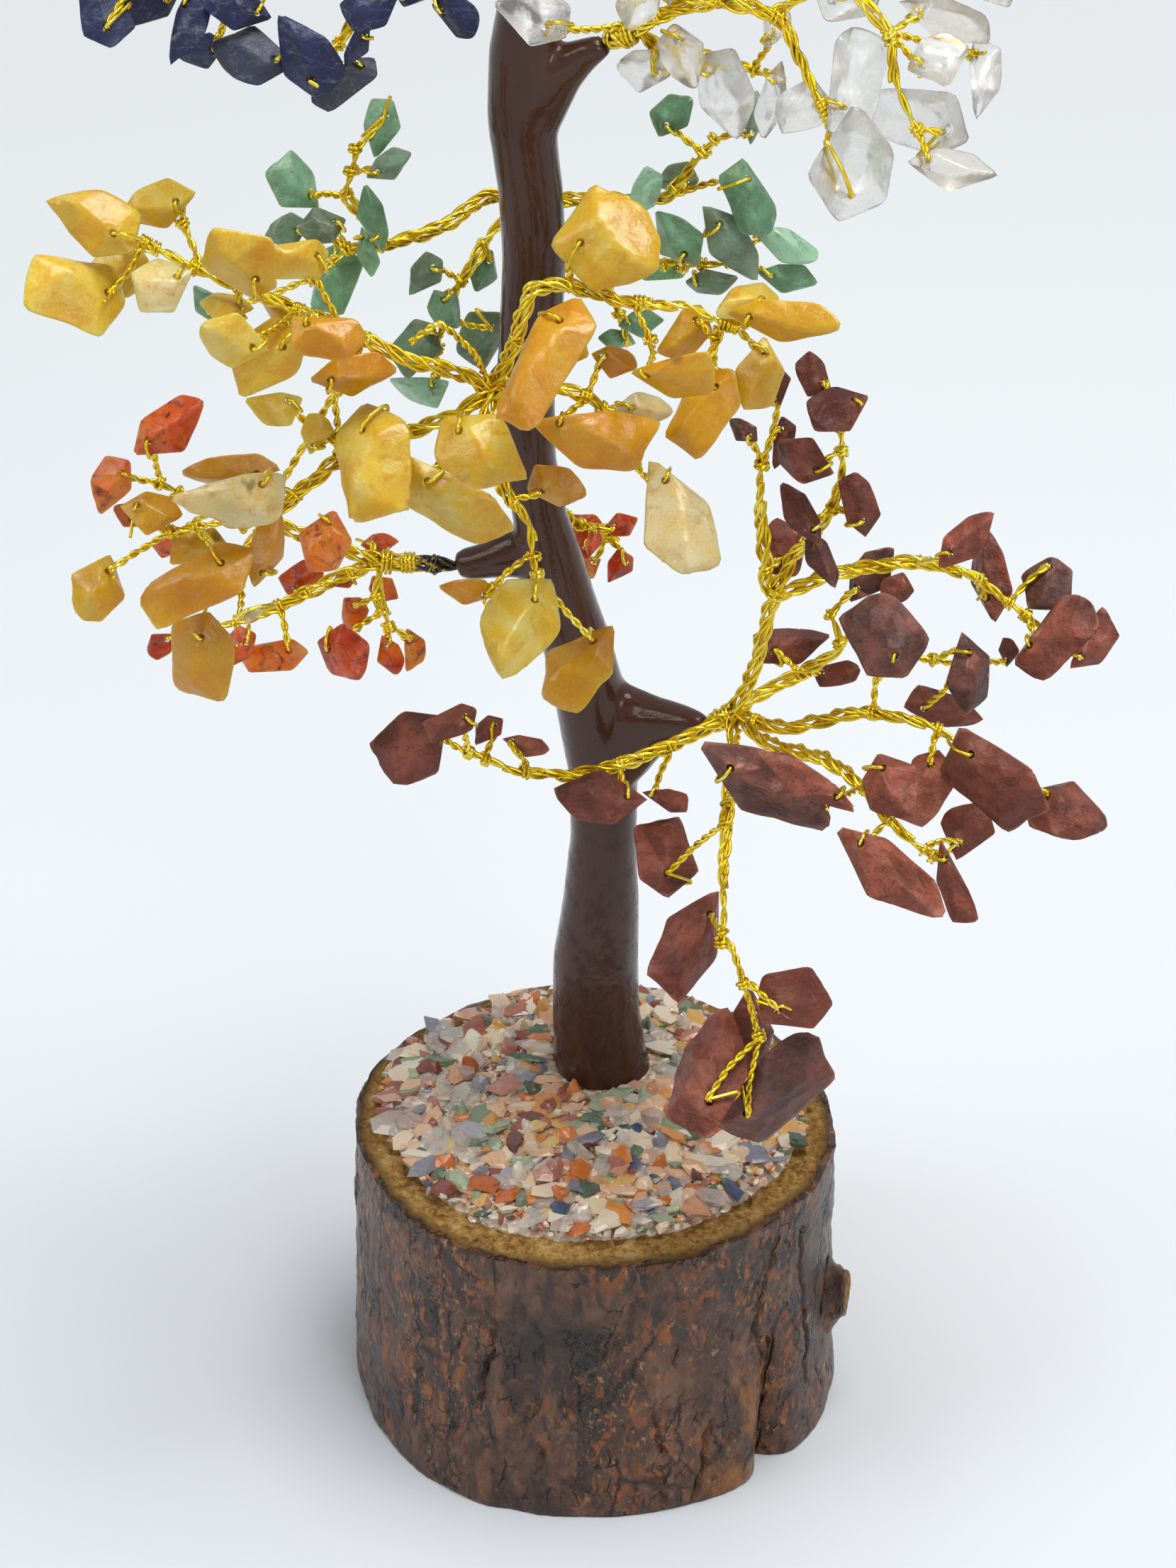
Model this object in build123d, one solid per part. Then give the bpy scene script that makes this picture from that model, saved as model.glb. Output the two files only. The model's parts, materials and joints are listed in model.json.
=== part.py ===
from build123d import *
import math
import os
from itertools import combinations

import numpy as np
from scipy.spatial import ConvexHull

os.makedirs("parts", exist_ok=True)

# A gemstone tree: drilled stone chips threaded on twisted gilt wire, gathered into
# boughs that leave a moulded trunk on a slice of a log.
# Sizes are in millimetres. +Z is up, the front of the tree faces -Y, and the origin
# is the middle of the log's underside.

# The log slice and what lies on it
LOG_HEIGHT = 50.0
LOG_TOP_RADIUS = 39.0
LOG_FOOT_RADIUS = 40.3
BARK_THICKNESS = 2.2
KNOT_RADIUS = 3.8
KNOT_END_RADIUS = 3.4
KNOT_LENGTH = 2.4
KNOT_HEIGHT = 21.0
SOCKET_RADIUS = 3.6
SOCKET_DEPTH = 14.0
RIM_WIDTH = 6.2
BED_THICKNESS = 2.0
BED_SLOPE = 1.2
STONE_WIDTH = 5.2
STONE_HEIGHT = 3.1
STONE_CLEARANCE = 0.3

# The crown is set out as it looks from one point in front of the tree
CROWN_REACH = 100.0
CROWN_DEPTH = 145.0
EYE_ACROSS = -0.9
EYE_DISTANCE = 503.0
EYE_RISE = 379.0

# The moulded trunk and the wires inside it
TRUNK_SETBACK = 12.0
CORE_RADIUS = 1.7
CORE_SPLAY_RADIUS = 3.0

# Wires and chips
STRAND_RADIUS = 0.42
TWIG_RADIUS = 0.5
BORE_RADIUS = 0.85
SEAT_GAP = 0.15
BOUGH_GAP = 0.35
PIVOT_GAP = 0.35
ROOT_TIP_RADIUS = 0.3
ROOT_NECK_RADIUS = 1.4
KNUCKLE_RADIUS = 2.1
KNUCKLE_END_RADIUS = 1.05
KNUCKLE_END_LENGTH = 1.7
FACE_SEAT = 0.05
CHIP_CLEARANCE = 0.3
TWIG_REACH = 21.0
TWIG_SHORTEST = 2.5
TWIG_START_REACH = 4.5
SLIDE_STEP = 1.5
START_STEP = 0.2
MOUTH_RISE = 0.75
STRAND_END = 0.7
WIRE_SAMPLE = 2.6

# The tables of places hold (across, up, toward). Across and up are shares of
# CROWN_REACH, read on the upright plane through the origin as seen from the eye.
# Toward is a share of CROWN_DEPTH and moves the place along that line of sight.
# In the tables the log's top is at LOG_TOP_SHARE and the trunk at TRUNK_SHARE.
LOG_TOP_SHARE = 0.50
TRUNK_SHARE = -0.12

CHIP_THICKNESS_SHARE = 0.40
BORE_PLACE_SHARE = 0.52
FORWARD_SHARE = 0.35
LAST_START_SHARE = 0.8
SIDEWAYS_SHARE = 0.30
SLIDE_COUNT = 10
SOURCE_COUNT = 14
NUDGE_DEGREES = (0, 25, -25, 50, -50)
BEND_STEPS = (-1, -.5, .5, 1)
TRUNK_SIDES = 12
STUB_SIDES = 8
LIMB_SIDES = 4
TWIG_SIDES = 3
BORE_SIDES = 3
ROOT_SIDES = 5
CLEFT_RISE_SHARE = 0.5
CLEFT_TOP_SHARE = 0.985
KNOT_DEGREES = -12
KNOT_FLAT_DEGREES = 15
STONE_COUNT = 72
STONE_DEPTH_SHARE = 0.8
STONE_TOP_SHARES = (.55, .42)
STONE_SLANT_SHARE = 0.35
STONE_TURN_SHARE = 1.7
STONE_TWIST_DEGREES = 34
GOLDEN_ANGLE = math.pi * (3 - math.sqrt(5))

# Trunk, from the foot up: (across, up, width)
TRUNK_SHARES = (
    (.019, .570, .158),
    (.012, .620, .148),
    (.003, .710, .140),
    (.002, .820, .133),
    (.011, .920, .120),
    (.016, 1.04, .100),
    (.012, 1.16, .102),
    (-.004, 1.28, .112),
    (-.030, 1.40, .104),
    (-.056, 1.50, .094),
    (-.080, 1.60, .080),
    (-.094, 1.70, .076),
    (-.098, 1.80, .082),
    (-.088, 1.90, .087),
    (-.084, 2.00, .088),
    (-.090, 2.12, .090),
    (-.100, 2.22, .093),
    (-.098, 2.32, .092),
    (-.084, 2.42, .082),
    (-.070, 2.52, .062),
    (-.064, 2.60, .044),
)

# Branch stubs of the trunk, from its middle to the tip:
# (across, up, toward, height, depth)
STUB_SHARES = {
    "jasper": (
        (.000, 1.220, -.120, .230, .096),
        (.055, 1.235, -.110, .162, .088),
        (.100, 1.245, -.090, .086, .070),
        (.140, 1.245, -.070, .050, .048),
        (.170, 1.240, -.055, .032, .032),
    ),
    "carnelian": (
        (-.070, 1.545, -.120, .100, .060),
        (-.130, 1.530, -.125, .072, .060),
        (-.165, 1.520, -.130, .056, .054),
        (-.200, 1.515, -.133, .050, .050),
    ),
    "carnelian_rear": (
        (-.074, 1.580, -.120, .070, .066),
        (-.068, 1.585, -.150, .060, .056),
        (-.060, 1.590, -.178, .042, .042),
    ),
    "aventurine": (
        (-.092, 2.060, -.120, .084, .080),
        (-.094, 2.075, -.155, .070, .068),
        (-.096, 2.085, -.188, .044, .044),
    ),
    "citrine": (
        (-.098, 1.820, -.120, .084, .080),
        (-.110, 1.820, -.080, .072, .070),
        (-.130, 1.815, -.035, .050, .050),
    ),
    "quartz": (
        (-.085, 2.240, -.120, .118, .084),
        (-.045, 2.285, -.112, .074, .064),
        (-.015, 2.308, -.104, .052, .052),
        (.015, 2.325, -.095, .038, .038),
    ),
    "lapis": (
        (-.086, 2.400, -.118, .100, .070),
        (-.120, 2.440, -.112, .070, .058),
        (-.155, 2.465, -.106, .050, .048),
        (-.180, 2.480, -.100, .040, .040),
    ),
}

# Each bough: where its wires knot, the middle of its bend and how far it bends
KNUCKLE_SHARES = {
    "jasper": (.208, 1.258, -.040),
    "carnelian": (-.315, 1.522, -.133),
    "carnelian_rear": (-.048, 1.590, -.222),
    "aventurine": (-.097, 2.092, -.232),
    "citrine": (-.148, 1.802, .010),
    "quartz": (.050, 2.342, -.085),
    "lapis": (-.215, 2.492, -.092),
    "amethyst": (-.060, 2.668, -.120),
}
BEND_AXES = {
    "jasper": (0, 0, 1),
    "carnelian": (0, 1, 0),
    "carnelian_rear": (0, 0, 1),
    "aventurine": (1, 0, 0),
    "citrine": (1, 0, 0),
    "quartz": (0, 0, 1),
    "lapis": (0, 0, 1),
    "amethyst": (0, 1, 0),
}
BEND_DEGREES = {
    "jasper": 9,
    "carnelian": 6,
    "carnelian_rear": 8,
    "aventurine": 6,
    "citrine": 6,
    "quartz": 8,
    "lapis": 9,
    "amethyst": 8,
}

# Limbs of each bough: (radius at the start, radius at the end, route), as shares. A
# route that starts with None leaves the bough's knuckle, the others leave a limb.
LIMB_SHARES = {
    "jasper": (
        (.012, .009, (None, (.240, 1.34, -.03), (.262, 1.45, -.02), (.292, 1.53, -.01),
                      (.340, 1.585, .00), (.358, 1.67, .01), (.354, 1.74, .01))),
        (.009, .007, ((.258, 1.43, -.02), (.252, 1.52, -.03), (.243, 1.60, -.03), (.243, 1.68, -.03))),
        (.009, .007, ((.266, 1.46, -.02), (.35, 1.50, -.02), (.47, 1.52, -.02), (.56, 1.495, -.02),
                      (.64, 1.43, .00))),
        (.009, .007, (None, (.250, 1.295, -.06), (.31, 1.33, -.07), (.365, 1.375, -.06),
                      (.350, 1.43, -.06))),
        (.010, .007, (None, (.290, 1.235, .01), (.40, 1.262, .05), (.49, 1.245, .08), (.57, 1.205, .10))),
        (.007, .006, ((.42, 1.258, .055), (.425, 1.33, .04), (.48, 1.355, .01), (.55, 1.345, -.01))),
        (.010, .007, (None, (.270, 1.205, .03), (.35, 1.18, .09), (.41, 1.13, .14), (.45, 1.07, .17),
                      (.53, .995, .19))),
        (.009, .007, (None, (.215, 1.18, .04), (.205, 1.10, .10), (.200, .97, .15), (.200, .83, .18))),
        (.006, .005, ((.200, .88, .169), (.232, .78, .195), (.262, .66, .215))),
        (.009, .007, (None, (.120, 1.205, .00), (.04, 1.17, .03), (-.04, 1.15, .04), (-.12, 1.16, .05),
                      (-.19, 1.19, .06))),
    ),
    "carnelian": (
        (.009, .007, (None, (-.38, 1.545, -.12), (-.46, 1.58, -.10), (-.55, 1.61, -.09),
                      (-.63, 1.65, -.08))),
        (.009, .007, (None, (-.375, 1.495, -.13), (-.43, 1.465, -.11), (-.50, 1.43, -.10),
                      (-.56, 1.41, -.09))),
        (.008, .007, (None, (-.320, 1.465, -.13), (-.305, 1.41, -.12))),
    ),
    "carnelian_rear": (
        (.008, .006, (None, (.00, 1.575, -.26), (.035, 1.555, -.28))),
    ),
    "aventurine": (
        (.011, .008, (None, (-.15, 2.10, -.22), (-.21, 2.055, -.18), (-.28, 2.03, -.15),
                      (-.345, 2.02, -.13), (-.40, 1.975, -.12))),
        (.008, .006, ((-.29, 2.028, -.15), (-.325, 2.075, -.14), (-.345, 2.10, -.14),
                      (-.33, 2.17, -.14))),
        (.008, .006, (None, (-.140, 2.05, -.22), (-.17, 2.00, -.19), (-.205, 1.94, -.18),
                      (-.225, 1.86, -.17))),
        (.009, .006, (None, (-.03, 2.095, -.22), (.04, 2.095, -.20), (.10, 2.10, -.19),
                      (.135, 2.145, -.18), (.165, 2.185, -.18))),
        (.009, .006, (None, (-.035, 2.040, -.22), (.04, 2.01, -.20), (.11, 1.995, -.18),
                      (.19, 2.00, -.17))),
        (.006, .006, ((.00, 2.025, -.21), (.02, 1.97, -.19), (.035, 1.92, -.18))),
    ),
    "citrine": (
        (.011, .008, (None, (-.20, 1.83, .03), (-.27, 1.85, .04), (-.36, 1.90, .04), (-.45, 1.94, .03),
                      (-.56, 1.99, .02), (-.63, 2.03, .01))),
        (.007, .006, ((-.55, 1.985, .02), (-.575, 2.06, .00))),
        (.007, .006, (None, (-.172, 1.86, .04), (-.22, 1.905, .05), (-.262, 1.875, .06))),
        (.010, .007, (None, (-.19, 1.765, .03), (-.25, 1.74, .03), (-.32, 1.715, .02),
                      (-.38, 1.68, .03), (-.455, 1.61, .04), (-.52, 1.53, .05), (-.57, 1.47, .06),
                      (-.58, 1.41, .06))),
        (.007, .006, ((-.375, 1.685, .03), (-.370, 1.75, .04), (-.375, 1.81, .04))),
        (.007, .006, ((-.47, 1.595, .04), (-.55, 1.585, .03), (-.62, 1.57, .03))),
        (.010, .007, (None, (-.115, 1.87, .03), (-.09, 1.955, .04), (-.04, 1.965, .03), (.04, 1.94, .02),
                      (.13, 1.93, .02), (.20, 1.90, .03))),
        (.006, .006, ((.055, 1.938, .02), (.080, 1.88, .03))),
        (.006, .006, ((.175, 1.911, .026), (.165, 1.85, .03))),
        (.008, .006, (None, (-.08, 1.81, .04), (-.01, 1.79, .04), (.04, 1.74, .02), (.06, 1.68, .03))),
        (.009, .007, (None, (-.155, 1.74, .04), (-.135, 1.65, .04), (-.095, 1.575, .04),
                      (-.085, 1.50, .05))),
    ),
    "quartz": (
        (.010, .007, (None, (.10, 2.37, -.08), (.17, 2.385, -.06), (.25, 2.36, -.04),
                      (.285, 2.29, -.03), (.32, 2.22, -.01))),
        (.008, .006, (None, (.10, 2.315, -.11), (.18, 2.30, -.11), (.25, 2.275, -.10))),
        (.008, .006, ((.235, 2.366, -.045), (.33, 2.41, -.04), (.40, 2.34, -.02), (.41, 2.27, -.01),
                      (.445, 2.20, .00))),
        (.008, .006, (None, (.095, 2.42, -.10), (.18, 2.49, -.10), (.31, 2.52, -.09),
                      (.43, 2.50, -.07))),
    ),
    "lapis": (
        (.010, .007, (None, (-.30, 2.47, -.09), (-.40, 2.43, -.07), (-.50, 2.40, -.05),
                      (-.61, 2.42, -.04))),
        (.009, .006, (None, (-.26, 2.43, -.07), (-.32, 2.37, -.05), (-.36, 2.30, -.03))),
        (.009, .006, (None, (-.28, 2.535, -.10), (-.40, 2.55, -.09), (-.53, 2.53, -.08))),
        (.006, .006, (None, (-.205, 2.435, -.05), (-.20, 2.40, -.03))),
    ),
    "amethyst": (
        (.009, .006, (None, (-.14, 2.70, -.13), (-.25, 2.73, -.14))),
        (.009, .006, (None, (-.058, 2.74, -.12), (-.05, 2.82, -.11))),
        (.009, .006, (None, (.03, 2.70, -.11), (.14, 2.72, -.10), (.21, 2.70, -.09))),
        (.008, .006, (None, (-.075, 2.68, -.06), (-.10, 2.69, .00))),
        (.008, .006, (None, (-.045, 2.68, -.18), (-.02, 2.70, -.23))),
    ),
}

# Outlines of the chips, as shares of length and width round the chip's middle, then
# two ridge points in front and one behind
OUTLINE_SHARES = {
    "kite": ((-.50, .04), (-.08, .50), (.50, .10), (.16, -.46), (-.30, -.40)),
    "wedge": ((-.50, -.30), (-.42, .40), (.10, .50), (.50, .02), (.02, -.50)),
    "blade": ((-.50, .10), (-.15, .50), (.30, .34), (.50, -.12), (-.05, -.50)),
    "block": ((-.50, -.34), (-.44, .42), (.30, .50), (.50, -.16), (.20, -.50)),
    "drop": ((-.50, .00), (.00, .44), (.42, .36), (.50, -.22), (.10, -.50)),
    "shard": ((-.50, -.06), (.12, .40), (.50, .50), (.44, -.30), (-.02, -.50)),
    "leaf": ((-.50, .00), (-.18, .42), (.22, .50), (.50, .06), (.00, -.50)),
    "slab": ((-.50, .22), (.26, .50), (.50, .20), (.34, -.44), (-.40, -.50)),
}
RIDGE_SHARES = ((-.20, .10, .50), (.20, -.08, .42), (.03, .04, -.50))
RIM_LIFT_SHARES = (.00, .14, -.10, .08, -.12)
LEAN_DEGREES = (12, -20, 26, -9, 18, -30, 5, 33, -15, 22, -26)
TIP_DEGREES = (-14, 9, 18, -22, 6, -10, 24, -4, 13, -18)

# Chips of each spray: (across, up, toward, length, width, turn in degrees, outline)
CHIP_SHARES = {
    "jasper_upper": (
        (.260, 1.807, -.03, .062, .046, 100, "drop"),
        (.312, 1.826, -.04, .066, .048, 112, "block"),
        (.352, 1.772, .03, .092, .074, 28, "wedge"),
        (.214, 1.735, -.03, .058, .034, -35, "leaf"),
        (.270, 1.712, -.05, .082, .036, 72, "shard"),
        (.303, 1.690, .03, .096, .082, -30, "kite"),
        (.386, 1.618, .02, .104, .050, -66, "block"),
        (.300, 1.598, .03, .114, .056, -60, "leaf"),
        (.278, 1.545, -.06, .090, .066, 74, "slab"),
        (.332, 1.526, .02, .100, .046, -64, "blade"),
    ),
    "jasper_outer": (
        (.410, 1.500, -.08, .116, .062, 50, "leaf"),
        (.446, 1.474, -.06, .050, .046, 10, "block"),
        (.296, 1.380, -.11, .134, .066, 20, "wedge"),
        (.362, 1.330, -.08, .078, .040, 8, "slab"),
        (.545, 1.555, .03, .116, .058, 56, "blade"),
        (.580, 1.500, -.06, .150, .076, -76, "leaf"),
        (.670, 1.482, -.02, .088, .076, 104, "block"),
        (.690, 1.395, .05, .150, .086, 44, "slab"),
        (.742, 1.380, -.01, .102, .070, 42, "shard"),
        (.618, 1.366, -.05, .048, .034, 80, "drop"),
        (.560, 1.330, .03, .126, .080, 100, "kite"),
        (.530, 1.265, -.05, .132, .056, -14, "wedge"),
    ),
    "jasper_lower": (
        (.435, 1.390, .09, .130, .106, -52, "block"),
        (.262, 1.130, .20, .236, .104, -30, "blade"),
        (.322, 1.140, .25, .184, .052, -24, "leaf"),
        (.455, 1.127, .17, .116, .092, -58, "kite"),
        (.505, 1.130, .11, .120, .076, 62, "slab"),
        (.610, 1.145, .14, .174, .120, -34, "slab"),
        (.570, 1.050, .13, .100, .086, 80, "drop"),
        (.725, 1.082, .10, .144, .104, -20, "kite"),
        (.555, .960, .21, .130, .050, -76, "shard"),
        (.455, .970, .23, .220, .086, -46, "leaf"),
    ),
    "jasper_hanging": (
        (.108, 1.005, .07, .130, .088, -76, "block"),
        (.153, .845, .13, .176, .098, 60, "wedge"),
        (.190, .600, .22, .220, .112, 82, "wedge"),
        (.255, .665, .18, .160, .062, 98, "leaf"),
        (.315, .735, .20, .106, .094, 10, "block"),
        (.290, .560, .23, .205, .122, 50, "slab"),
    ),
    "jasper_left": (
        (-.270, 1.205, .08, .128, .104, 34, "wedge"),
        (-.215, 1.245, .11, .082, .050, 10, "slab"),
        (-.162, 1.228, .05, .058, .044, 60, "drop"),
        (-.102, 1.202, .03, .084, .032, -14, "leaf"),
        (.012, 1.110, .06, .136, .090, -6, "kite"),
        (.110, 1.108, .03, .080, .044, -10, "drop"),
    ),
    "citrine_tip": (
        (-.700, 2.065, .04, .142, .102, -28, "drop"),
        (-.668, 1.995, -.05, .120, .090, 70, "kite"),
        (-.730, 1.955, .07, .150, .112, -22, "slab"),
        (-.608, 2.085, .00, .122, .070, 16, "leaf"),
        (-.610, 1.965, .07, .092, .080, 20, "wedge"),
        (-.495, 2.000, .09, .112, .100, -20, "block"),
        (-.415, 2.005, .06, .094, .060, -4, "slab"),
        (-.522, 1.930, .02, .082, .050, -12, "leaf"),
        (-.515, 1.880, .14, .108, .080, -28, "kite"),
        (-.465, 1.855, .08, .120, .092, 24, "block"),
        (-.440, 1.920, .05, .080, .060, -30, "drop"),
    ),
    "citrine_left": (
        (-.380, 1.885, .11, .116, .066, -20, "slab"),
        (-.345, 1.825, .06, .130, .066, 8, "blade"),
        (-.320, 1.680, .09, .186, .122, 92, "slab"),
        (-.402, 1.730, .05, .068, .050, 78, "drop"),
        (-.465, 1.775, .04, .082, .060, -20, "shard"),
        (-.530, 1.670, .00, .160, .062, 10, "blade"),
        (-.535, 1.625, .11, .186, .092, -6, "shard"),
        (-.645, 1.600, .04, .096, .076, -18, "leaf"),
        (-.580, 1.545, .03, .092, .050, 6, "block"),
        (-.585, 1.485, .11, .184, .090, 11, "slab"),
        (-.480, 1.540, .05, .120, .066, 80, "blade"),
        (-.475, 1.415, .13, .180, .084, -15, "drop"),
        (-.735, 1.475, .06, .112, .094, 46, "kite"),
        (-.585, 1.360, .10, .140, .106, 80, "block"),
    ),
    "citrine_front": (
        (-.165, 1.700, .13, .150, .122, -40, "kite"),
        (-.205, 1.620, .11, .190, .090, -38, "slab"),
        (-.070, 1.845, .15, .220, .088, 64, "slab"),
        (-.040, 1.870, .07, .098, .068, 60, "leaf"),
        (-.005, 1.730, .08, .184, .100, -14, "shard"),
        (-.050, 1.645, .02, .096, .070, -10, "wedge"),
        (-.115, 1.400, .11, .184, .130, 76, "drop"),
        (-.020, 1.340, .07, .160, .112, 46, "kite"),
        (-.185, 1.470, .05, .090, .042, -14, "leaf"),
    ),
    "citrine_right": (
        (.030, 2.025, .03, .164, .142, -30, "wedge"),
        (.130, 1.890, .01, .088, .062, 44, "slab"),
        (.210, 1.935, .02, .102, .064, 30, "drop"),
        (.270, 1.908, .08, .184, .066, -4, "leaf"),
        (.030, 1.845, .02, .074, .052, -16, "leaf"),
        (.110, 1.828, .11, .126, .084, 0, "shard"),
        (.072, 1.768, .04, .092, .056, 8, "blade"),
        (.160, 1.770, .08, .140, .092, 62, "block"),
        (.235, 1.825, .06, .116, .076, 70, "kite"),
        (.120, 1.595, .12, .195, .116, -72, "drop"),
    ),
    "aventurine_left": (
        (-.295, 2.200, -.15, .094, .056, 76, "drop"),
        (-.285, 2.145, -.14, .076, .048, 22, "leaf"),
        (-.415, 2.115, -.12, .092, .080, -40, "wedge"),
        (-.430, 2.045, -.14, .080, .052, 20, "leaf"),
        (-.380, 2.055, -.11, .074, .060, 8, "kite"),
        (-.320, 2.015, -.10, .080, .038, -76, "leaf"),
        (-.310, 2.070, -.12, .118, .042, -70, "blade"),
        (-.365, 1.975, -.13, .110, .078, 60, "slab"),
        (-.550, 1.940, -.10, .064, .044, -60, "drop"),
    ),
    "aventurine_middle": (
        (-.240, 1.980, -.17, .076, .052, 50, "drop"),
        (-.155, 1.985, -.20, .072, .052, 62, "leaf"),
        (-.210, 1.925, -.18, .074, .060, -50, "kite"),
        (-.160, 1.885, -.20, .096, .070, 70, "block"),
        (-.255, 1.870, -.16, .086, .070, 34, "slab"),
        (-.255, 1.805, -.16, .092, .062, -18, "shard"),
    ),
    "aventurine_right": (
        (.110, 2.225, -.18, .078, .056, 34, "wedge"),
        (.220, 2.215, -.16, .080, .034, 80, "leaf"),
        (.065, 2.100, -.17, .090, .052, 62, "shard"),
        (.112, 2.125, -.20, .074, .054, 20, "drop"),
        (.215, 2.095, -.15, .118, .070, -66, "slab"),
        (.115, 2.035, -.17, .104, .080, -48, "leaf"),
        (.190, 2.030, -.14, .152, .066, -46, "blade"),
        (.262, 2.030, -.17, .120, .056, -28, "drop"),
        (.270, 1.975, -.16, .092, .050, -14, "leaf"),
        (.100, 1.990, -.20, .082, .036, -6, "slab"),
        (.165, 1.970, -.17, .084, .048, 10, "kite"),
        (.065, 1.905, -.17, .072, .042, 6, "leaf"),
        (.030, 1.880, -.18, .066, .036, -10, "blade"),
    ),
    "carnelian_left": (
        (-.610, 1.740, -.05, .138, .080, 36, "blade"),
        (-.705, 1.645, -.04, .096, .072, 62, "drop"),
        (-.680, 1.595, -.10, .062, .036, -28, "leaf"),
        (-.620, 1.555, -.10, .064, .042, 20, "slab"),
        (-.395, 1.555, -.06, .100, .088, 64, "kite"),
        (-.430, 1.495, -.12, .072, .052, 30, "block"),
        (-.315, 1.550, -.17, .066, .036, 4, "leaf"),
        (-.370, 1.490, -.17, .044, .034, 20, "drop"),
        (-.310, 1.475, -.16, .058, .046, -50, "kite"),
        (-.355, 1.435, -.14, .054, .044, 70, "block"),
        (-.370, 1.360, -.08, .098, .086, -50, "wedge"),
        (-.305, 1.360, -.10, .072, .042, -70, "leaf"),
        (-.272, 1.365, -.12, .066, .048, 60, "shard"),
        (-.480, 1.360, -.08, .112, .056, -14, "slab"),
        (-.535, 1.370, -.06, .080, .052, 50, "drop"),
        (-.645, 1.380, -.08, .054, .042, 24, "kite"),
    ),
    "carnelian_rear": (
        (-.015, 1.570, -.27, .080, .060, 70, "block"),
        (.040, 1.582, -.25, .056, .044, 10, "kite"),
        (.000, 1.555, -.23, .060, .028, 80, "leaf"),
        (.035, 1.510, -.25, .062, .046, 60, "drop"),
        (-.010, 1.512, -.28, .052, .042, 30, "wedge"),
    ),
    "quartz_inner": (
        (-.085, 2.365, .00, .112, .082, -20, "drop"),
        (.065, 2.385, -.06, .084, .062, 40, "wedge"),
        (.125, 2.395, -.09, .064, .052, 10, "block"),
        (.065, 2.285, -.09, .092, .066, -10, "leaf"),
        (.120, 2.305, -.07, .100, .070, -70, "kite"),
        (.180, 2.250, -.06, .132, .100, -70, "wedge"),
        (.245, 2.345, -.09, .070, .042, 70, "drop"),
        (.245, 2.240, -.06, .118, .052, 80, "blade"),
        (.288, 2.232, -.03, .082, .070, 20, "block"),
        (.190, 2.435, -.06, .092, .070, -10, "shard"),
        (.110, 2.470, -.08, .100, .072, 20, "slab"),
        (.260, 2.460, -.06, .092, .066, 40, "kite"),
        (.185, 2.560, -.10, .104, .076, 10, "drop"),
    ),
    "quartz_outer": (
        (.345, 2.385, -.04, .092, .052, 6, "slab"),
        (.355, 2.270, -.02, .156, .088, 74, "slab"),
        (.360, 2.155, .02, .168, .136, -80, "drop"),
        (.450, 2.212, .01, .148, .090, -4, "block"),
        (.470, 2.300, .00, .094, .078, 20, "leaf"),
        (.480, 2.355, -.03, .146, .078, -10, "blade"),
        (.530, 2.270, .00, .126, .052, 82, "shard"),
        (.495, 2.140, .02, .130, .068, -10, "leaf"),
        (.360, 2.470, -.07, .102, .072, -20, "kite"),
        (.450, 2.440, -.06, .096, .072, 20, "wedge"),
        (.530, 2.420, -.05, .100, .068, -30, "drop"),
        (.310, 2.590, -.08, .098, .072, 30, "block"),
        (.420, 2.570, -.07, .108, .076, -16, "shard"),
    ),
    "lapis_outer": (
        (-.670, 2.370, -.02, .104, .080, -60, "drop"),
        (-.600, 2.385, -.05, .076, .062, 20, "block"),
        (-.555, 2.345, .00, .112, .056, 66, "shard"),
        (-.535, 2.312, -.04, .080, .050, 14, "leaf"),
        (-.480, 2.375, -.02, .092, .062, -20, "wedge"),
        (-.740, 2.430, -.04, .100, .076, 30, "kite"),
        (-.660, 2.470, -.05, .104, .070, -14, "slab"),
        (-.570, 2.465, -.03, .096, .070, 40, "drop"),
        (-.600, 2.560, -.09, .100, .070, -20, "wedge"),
        (-.500, 2.580, -.07, .108, .074, 16, "block"),
    ),
    "lapis_inner": (
        (-.465, 2.305, .00, .122, .080, -20, "kite"),
        (-.395, 2.312, .02, .132, .092, -62, "drop"),
        (-.340, 2.268, .01, .112, .046, 40, "slab"),
        (-.322, 2.320, .02, .076, .032, 60, "leaf"),
        (-.300, 2.378, -.02, .092, .062, 30, "wedge"),
        (-.185, 2.365, -.01, .074, .056, -40, "block"),
        (-.410, 2.470, -.05, .094, .070, 10, "shard"),
        (-.330, 2.460, -.07, .082, .066, 60, "kite"),
        (-.250, 2.400, -.04, .070, .052, -20, "leaf"),
        (-.410, 2.600, -.09, .096, .072, -30, "drop"),
        (-.310, 2.590, -.09, .104, .072, 24, "slab"),
        (-.230, 2.560, -.08, .088, .064, -10, "wedge"),
    ),
    "amethyst_left": (
        (-.280, 2.680, -.12, .100, .076, 20, "kite"),
        (-.310, 2.760, -.14, .104, .072, -20, "drop"),
        (-.220, 2.810, -.12, .100, .074, 50, "block"),
        (-.190, 2.660, -.09, .092, .066, -30, "wedge"),
        (-.170, 2.760, -.17, .090, .064, 10, "slab"),
        (-.130, 2.860, -.12, .100, .074, 70, "shard"),
        (-.140, 2.745, -.06, .104, .072, -14, "leaf"),
        (-.105, 2.640, .02, .096, .076, 16, "drop"),
        (-.150, 2.710, .02, .090, .066, 50, "kite"),
    ),
    "amethyst_right": (
        (-.050, 2.920, -.11, .110, .082, 84, "drop"),
        (.030, 2.870, -.10, .096, .070, 40, "wedge"),
        (-.040, 2.800, -.05, .104, .076, -20, "block"),
        (.060, 2.780, -.13, .100, .072, 10, "kite"),
        (-.040, 2.700, .00, .100, .074, 30, "slab"),
        (.120, 2.800, -.10, .096, .070, 50, "shard"),
        (.200, 2.770, -.08, .100, .070, -10, "leaf"),
        (.260, 2.690, -.08, .098, .070, -40, "drop"),
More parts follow.
